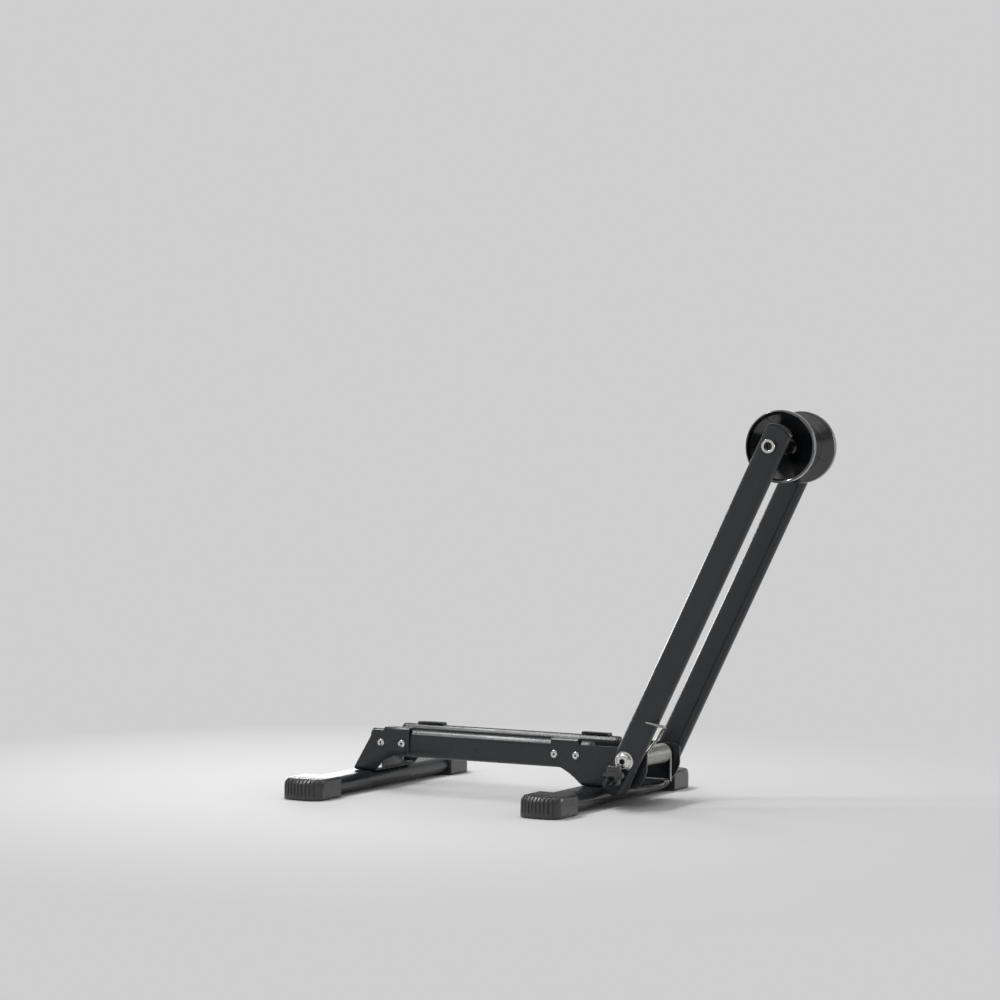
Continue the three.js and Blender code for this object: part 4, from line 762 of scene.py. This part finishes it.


# The pivot head's hexagon socket gets painted recess shade.
finished("pivot_screw", pivot_head(), PIVOT @ facing(-1), NICKEL, "base", ["pivot_bolt"],
         second=RECESS_SHADE_PAINT, pick=within(PIVOT_SOCKET_RADIUS, ARM_OUTSIDE))
finished("cap_nut", cap_nut(), PIVOT, NICKEL, "base", ["pivot_nut"])
sleeve_end = PLATE_INSIDE - SEAT_GAP
finished("spring_sleeve", ring(AXLE_BORE, SLEEVE, -sleeve_end, sleeve_end), PIVOT, ZINC, "base",
         ["pivot_sleeve"])
for hand, side in HANDS:
    finished(f"flanged_bush_{hand}", flanged_bush(), PIVOT @ facing(side), NYLON, "arms", [f"arm_bush_{hand}"])
    # The screw's recess and socket get painted recess shade.
    finished(f"cap_screw_{hand}", cap_screw(), TOP_AXLE @ facing(side), NICKEL, "arms",
             [f"axle_screw_{hand}"], second=RECESS_SHADE_PAINT, pick=within(SCREW_RECESS, ARM_OUTSIDE))
    spacer = ring(AXLE_BORE, SPACER, HUB_END + SEAT_GAP, ARM_INSIDE - SEAT_GAP, 48)
    finished(f"spacer_{hand}", spacer, TOP_AXLE @ facing(side), NYLON, "arms", [f"axle_spacer_{hand}"])


# ---------------------------------------------------------------- rollers

RIB_ANGLES = [TILT + i * math.pi / 3 for i in range(6)]
RAYS = [i * math.pi / 3 for i in range(6)]
ROLLER_RADIUS, RIM_INSET = 38.4, 2
V_WAIST, V_START, V_RISE = 8.2, 3.5, 27.5
V_RINGS, RING_DEPTH, RING_EDGE, RING_RUN = (18, 27), 0.8, 0.4, 3
V_STEPS, ROUND_STEPS = 60, 96
RAY_HEIGHT, RAY_FLAT, RAY_EDGE, RAY_FOOT = 0.5, 0.018, 0.033, 0.034
RAY_START, RAY_END = (12, 13), (34, 35)
DISH_OUTER, DISH_INNER, DISH_STEPS = (34, 29.1), (10, 8.3), 8
RIM_FACE = (36.6, 35.4)
DISH_RIB, DISH_RIB_THICK = [(6.4, 6.8), (9.2, 6.8), (36.4, 30.2), (36.4, 32.4), (9.4, 9.3), (6.4, 9.3)], 1.3


def roller():
    """One half of the V with its open dish along +Y: waist, stepped V, rolled rim, hollow dish, hub tube."""
    v_edge = ROLLER_RADIUS - RIM_INSET
    run_per_rise = (V_RISE - V_START) / (v_edge - V_WAIST)

    def ringed(r):
        lift = 0
        for inner in V_RINGS:
            fade = 1 - (r - inner) / RING_RUN if r < inner + RING_RUN else 0
            lift += RING_DEPTH * smooth(r, inner, inner + RING_EDGE) * fade
        return V_START + (r - V_WAIST) * run_per_rise - lift

    v_radii = [V_WAIST + (v_edge - V_WAIST) * i / V_STEPS for i in range(1, V_STEPS)]
    v_radii += [inner + part for inner in V_RINGS for part in (0.15, 0.3, RING_RUN)]
    profile = [(5.6, 0.5), (5.9, 0.3), (8.0, 0.3), (V_WAIST, 0.5), (V_WAIST, 3.3)]
    profile += [(r, ringed(r)) for r in sorted(v_radii)]
    profile += [(v_edge, V_RISE)] + arc(36.0, 29.9, 2.4, -0.9, 0, 6) + arc(36.8, 34.9, 1.6, 0, 1, 8)
    profile += [(35.85, 35.8), (35.8, 35.3), (35.8, 31.5), (35.2, 30.2)]
    (wide, high), (narrow, low) = DISH_OUTER, DISH_INNER
    profile += [(wide - (wide - narrow) * i / DISH_STEPS, high - (high - low) * i / DISH_STEPS)
                for i in range(DISH_STEPS + 1)]
    profile += [(8.6, 7.7), (6.8, 8.2), (6.8, 25.1), (6.5, HUB_END), (5.9, HUB_END), (5.6, 25.2)]
    round_angles = [i / ROUND_STEPS * 2 * math.pi for i in range(ROUND_STEPS)]
    ray_angles = [ray + offset for ray in RAYS for offset in (-RAY_FOOT, -RAY_FLAT, RAY_FLAT, RAY_FOOT)]
    angles = sorted({round(a % (2 * math.pi), 5) for a in round_angles + ray_angles})

    def shape(r, y, angle):
        """Raises a line along each ray of the V."""
        if r < RAY_START[0] or r > RAY_END[1] or abs(y - ringed(r)) > 0.01:
            return r, y
        near = min(abs((angle - ray + math.pi) % (2 * math.pi) - math.pi) for ray in RAYS)
        lift = RAY_HEIGHT * smooth(r, *RAY_START) * (1 - smooth(r, *RAY_END))
        lift *= 1 - smooth(near, RAY_FLAT, RAY_EDGE)
        return r + lift, y - lift

    body = turned(profile, angles=angles, shape=shape)
    ribs = [moved(prism(DISH_RIB, DISH_RIB_THICK), Matrix.Rotation(a, 4, "Y")) for a in RIB_ANGLES]
    return combine(body, ribs, "UNION")


def on_rim(centre):
    radius, height = RIM_FACE
    return math.hypot(centre.x, centre.z) > radius and centre.y > height


for hand, side in HANDS:
    # The rim face gets the lighter painted rim reflection.
    finished(f"wheel_{hand}", roller(), TOP_AXLE @ facing(side), GLOSS, f"roller_{hand}", [f"roller_{hand}"],
             28, second=RIM_REFLECTION_PAINT, pick=on_rim)


# ---------------------------------------------------------------- lock knob

LOBES, KNOB_RADIUS, LOBE_DEPTH, LOBE_SHARPNESS = 6, 11.6, 2.8, 1.5
KNOB_POINTS, KNOB_SIDE, KNOB_DOME, KNOB_INSET, DOME_ROWS = 144, 7.2, 2.3, 2.6, 6
KNOB_HUB = [(0, 10.3), (5.3, 10.3), (6.1, 10.0), (6.5, 9.2), (6.5, 7), (0, 7)]
KNOB_NECK, STUD_HOLE = 4.7, (-20, 7.5)
STUD_CHAMFER = 0.4


def knob():
    """Star knob along +Y from its back: rounded lobes, hub on its face, neck and stud bore."""
    def star(inset):
        points = []
        for i in range(KNOB_POINTS):
            lobe = i / KNOB_POINTS * 2 * math.pi
            hollow = (0.5 - 0.5 * math.cos(LOBES * lobe)) ** LOBE_SHARPNESS
            radius = KNOB_RADIUS - inset - LOBE_DEPTH * hollow
            points.append((radius * math.cos(lobe - TILT), radius * math.sin(lobe - TILT)))
        return points

    levels = [(6, 0), (1.6, 0), (0.5, 0.4), (0, 1.4), (0, KNOB_SIDE)]
    for i in range(1, DOME_ROWS + 1):
        angle = i / DOME_ROWS * QUARTER
        levels.append((KNOB_INSET * (1 - math.cos(angle)), KNOB_SIDE + KNOB_DOME * math.sin(angle)))
    body = grid([[(x, height, z) for x, z in star(inset)] for inset, height in levels])
    neck = pin(KNOB_NECK, -KNOB_BACK + ARM_FACE, 1)
    body = combine(combine(body, [neck], "UNION"), [turned(KNOB_HUB, 64)], "UNION")
    return combine(body, [pin(BOLT_BORE, *STUD_HOLE, 40)], "DIFFERENCE")


knob_place = ARMS @ Matrix.Translation((0, -KNOB_BACK, -KNOB_BELOW)) @ facing(-1)
finished("star_knob", knob(), knob_place, GLOSS, "lock_knob", ["lock_knob"], 40)
stud = pin(BOLT, -KNOB_BACK + PLATE_OUTSIDE + SEAT_GAP, KNOB_SIDE, 40, STUD_CHAMFER)
finished("knob_stud", stud, knob_place, ZINC, "lock_knob", ["lock_stud"])


# ---------------------------------------------------------------- torsion spring

CURL_STEPS, WIRE_SIDES, HOOK_STEPS, LEG_STEPS = 28, 12, 6, 5
HOOK_BEND, HOOK_RISE, HOOK_LIFT = 22.5, 48.6, 4.3
LEG_DROPS, LEG_OUT = (8, 16, 30), 0.6


def catmull(points, steps):
    out = []
    for i in range(len(points) - 1):
        a, b, c, d = (points[max(i - 1, 0)], points[i], points[i + 1], points[min(i + 2, len(points) - 1)])
        for s in range(steps):
            t = s / steps
            out.append(0.5 * (2 * b + (c - a) * t + (2 * a - 5 * b + 4 * c - d) * t ** 2
                              + (3 * b - a - 3 * c + d) * t ** 3))
    return out + [points[-1]]


def spring_line():
    """The wire's middle line: hook round the near arm, curls, and a leg down to the web."""
    def along(perp, rise, y):
        return Vector((perp * math.cos(TILT) + rise * math.sin(TILT), y,
                       rise * math.cos(TILT) - perp * math.sin(TILT)))

    outer = -ARM_OUTSIDE - SPRING_WIRE / 2 - SPRING_ROOM
    bend, rise, top = HOOK_BEND, HOOK_RISE, HOOK_RISE + HOOK_LIFT
    start = -SPRING_CURLS * SPRING_PITCH / 2
    hook = [along(4.6, rise, outer), along(bend - 9, top - 1.6, outer), along(bend - 3.5, top - 0.4, outer + 1),
            along(bend - 0.6, top, outer + 4), along(bend, top - 0.4, outer + 7.5),
            along(bend - 0.6, top - 1.7, outer + 11.5), along(bend - 3, top - 5, -ARM_INSIDE - 1.5),
            along(bend - 4.6, top - 9.5, -ARM_INSIDE + 2.5), along(bend - 6, top - 15, -ARM_INSIDE + 5.5),
            along(TUBE_WIDTH / 2, 0.64 * rise, start - 0.4),
            along(SPRING_RADIUS + SPRING_WIRE, 20.16, start - 0.2), along(SPRING_RADIUS + 0.6, 8.06, start)]
    turns = SPRING_CURLS - TILT / (2 * math.pi)
    count = round(turns * CURL_STEPS)
    curls = []
    for i in range(count + 1):
        angle = TILT + i / count * turns * 2 * math.pi
        curls.append(Vector((SPRING_RADIUS * math.cos(angle), start + i / count * turns * SPRING_PITCH,
                             -SPRING_RADIUS * math.sin(angle))))
    leg = [Vector((SPRING_RADIUS, curls[-1].y + LEG_OUT, -drop)) for drop in LEG_DROPS]
    return catmull(hook + [curls[0]], HOOK_STEPS)[:-1] + curls + catmull([curls[-1]] + leg, LEG_STEPS)[1:]


def spring():
    line, rows, across = spring_line(), [], Z_AXIS
    for i, point in enumerate(line):
        tangent = (line[min(i + 1, len(line) - 1)] - line[max(i - 1, 0)]).normalized()
        across = (across - tangent * across.dot(tangent)).normalized()
        side = tangent.cross(across)
        turn = [k / WIRE_SIDES * 2 * math.pi for k in range(WIRE_SIDES)]
        rows.append([point + SPRING_WIRE / 2 * (across * math.cos(a) + side * math.sin(a)) for a in turn])
    return grid(rows)


coil = finished("coiled_spring", spring(), PIVOT, WIRE, None, ["torsion_spring"], 60)
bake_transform(coil)


# ---------------------------------------------------------------- CAD pieces that stay

def keep(node, material):
    """Gives a CAD node a material and leaves its shape as it is."""
    materials = frame["nodes"][node].data.materials
    materials.clear()
    materials.append(material)


keep("roller_axle", ZINC)
keep("lock_nut", ZINC)
for hand, _ in HANDS:
    keep(f"roller_bush_{hand}", BRONZE)
    for place in ("front", "rear"):
        keep(f"foot_insert_{place}_{hand}", ZINC)


# ---------------------------------------------------------------- floor, light and camera, in metres

PALE = 0.62
FLOOR_HALF, FLOOR_ROUGHNESS, FLOOR_FADE = 60, 0.8, (0.4, 0.9)
SKY_TOP = 0.85
SKY = ((0.2, PALE), (0.38, 0.25), (0.6, 0.3), (0.85, SKY_TOP))
LAMPS = (("key", (-1.3, -1.5, 2.0), 0.4, 0.4, 9),
         ("top_strip", (-0.85, -0.1, 1.75), 1.9, 0.14, 19),
         ("left_edge", (-1.5, 1.3, 0.42), 1.0, 0.5, 9),
         ("right_edge", (1.5, 1.3, 0.7), 0.4, 0.9, 6))
LAMP_AIM = Vector((0, 0, 0.15))
CAMERA_PLACE = (1.3077, -2.9986, 0.37759)
CAMERA_YAW, CAMERA_PITCH, CAMERA_ROLL = 25.2368, 0.9173, 1.1912
SENSOR_WIDTH, LENS = 36, 108


def grey(level):
    return (level, level, level, 1)


def pale_floor():
    """Pale and plain, fading into the colour of the background far from the part."""
    material = bpy.data.materials.new("pale_floor")
    material.use_nodes = True
    nodes, join = links(material)
    shader = nodes["Principled BSDF"]
    shader.inputs["Base Color"].default_value = grey(PALE)
    shader.inputs["Roughness"].default_value = FLOOR_ROUGHNESS
    place = nodes.new("ShaderNodeTexCoord")
    reach = nodes.new("ShaderNodeVectorMath")
    reach.operation = "LENGTH"
    join(place, "Object", reach, "Vector")
    fade = map_range(nodes, FLOOR_FADE)
    join(reach, "Value", fade, "Value")
    far = nodes.new("ShaderNodeEmission")
    far.inputs["Color"].default_value = grey(PALE)
    mix = nodes.new("ShaderNodeMixShader")
    join(fade, "Result", mix, 0)
    join(shader, "BSDF", mix, 1)
    join(far, "Emission", mix, 2)
    join(mix, "Shader", nodes["Material Output"], "Surface")
    return material


def studio():
    """A pale backdrop all round at the horizon, darker above it, and a broad soft light overhead."""
    world = bpy.data.worlds.new("studio")
    world.use_nodes = True
    nodes, join = links(world)
    place = nodes.new("ShaderNodeTexCoord")
    height = nodes.new("ShaderNodeSeparateXYZ")
    join(place, "Generated", height, "Vector")
    glow = nodes.new("ShaderNodeValToRGB")
    steps = glow.color_ramp.elements
    for spot, level in SKY:
        steps.new(spot).color = grey(level)
    steps[0].color = grey(PALE)
    steps[-1].color = grey(SKY_TOP)
    join(height, "Z", glow, "Fac")
    join(glow, "Color", nodes["Background"], "Color")
    return world


def softbox(name, location, width, height, watts):
    """A soft lamp aimed at the part, with its width level."""
    lamp = bpy.data.lights.new(name, "AREA")
    lamp.shape = "RECTANGLE"
    lamp.size, lamp.size_y = width, height
    lamp.energy = watts
    holder = shown(name, lamp)
    holder.location = location
    holder.rotation_euler = (LAMP_AIM - Vector(location)).to_track_quat("-Z", "Y").to_euler()
    holder.visible_camera = False


def photo_camera():
    camera = bpy.data.cameras.new("camera")
    camera.sensor_width = SENSOR_WIDTH
    camera.lens = LENS
    yaw, pitch, roll = (math.radians(v) for v in (CAMERA_YAW, CAMERA_PITCH, CAMERA_ROLL))
    forward = Vector((-math.sin(yaw) * math.cos(pitch), math.cos(yaw) * math.cos(pitch), -math.sin(pitch)))
    level_right = Vector((math.cos(yaw), math.sin(yaw), 0))
    level_up = level_right.cross(forward)
    right = level_right * math.cos(roll) + level_up * math.sin(roll)
    up = level_up * math.cos(roll) - level_right * math.sin(roll)
    stand = shown("camera", camera)
    turn = Matrix((right, up, -forward)).transposed().to_4x4()
    stand.matrix_world = Matrix.Translation(CAMERA_PLACE) @ turn
    return stand


corners = [(FLOOR_HALF * x, FLOOR_HALF * y, 0) for x, y in ((-1, -1), (1, -1), (1, 1), (-1, 1))]
ground = bpy.data.meshes.new("ground")
ground.from_pydata(corners, [], [(0, 1, 2, 3)])
ground.materials.append(pale_floor())
shown("ground", ground)
bpy.context.scene.world = studio()
for lamp_values in LAMPS:
    softbox(*lamp_values)
bpy.context.scene.camera = photo_camera()
bpy.context.scene.view_settings.view_transform = "Standard"
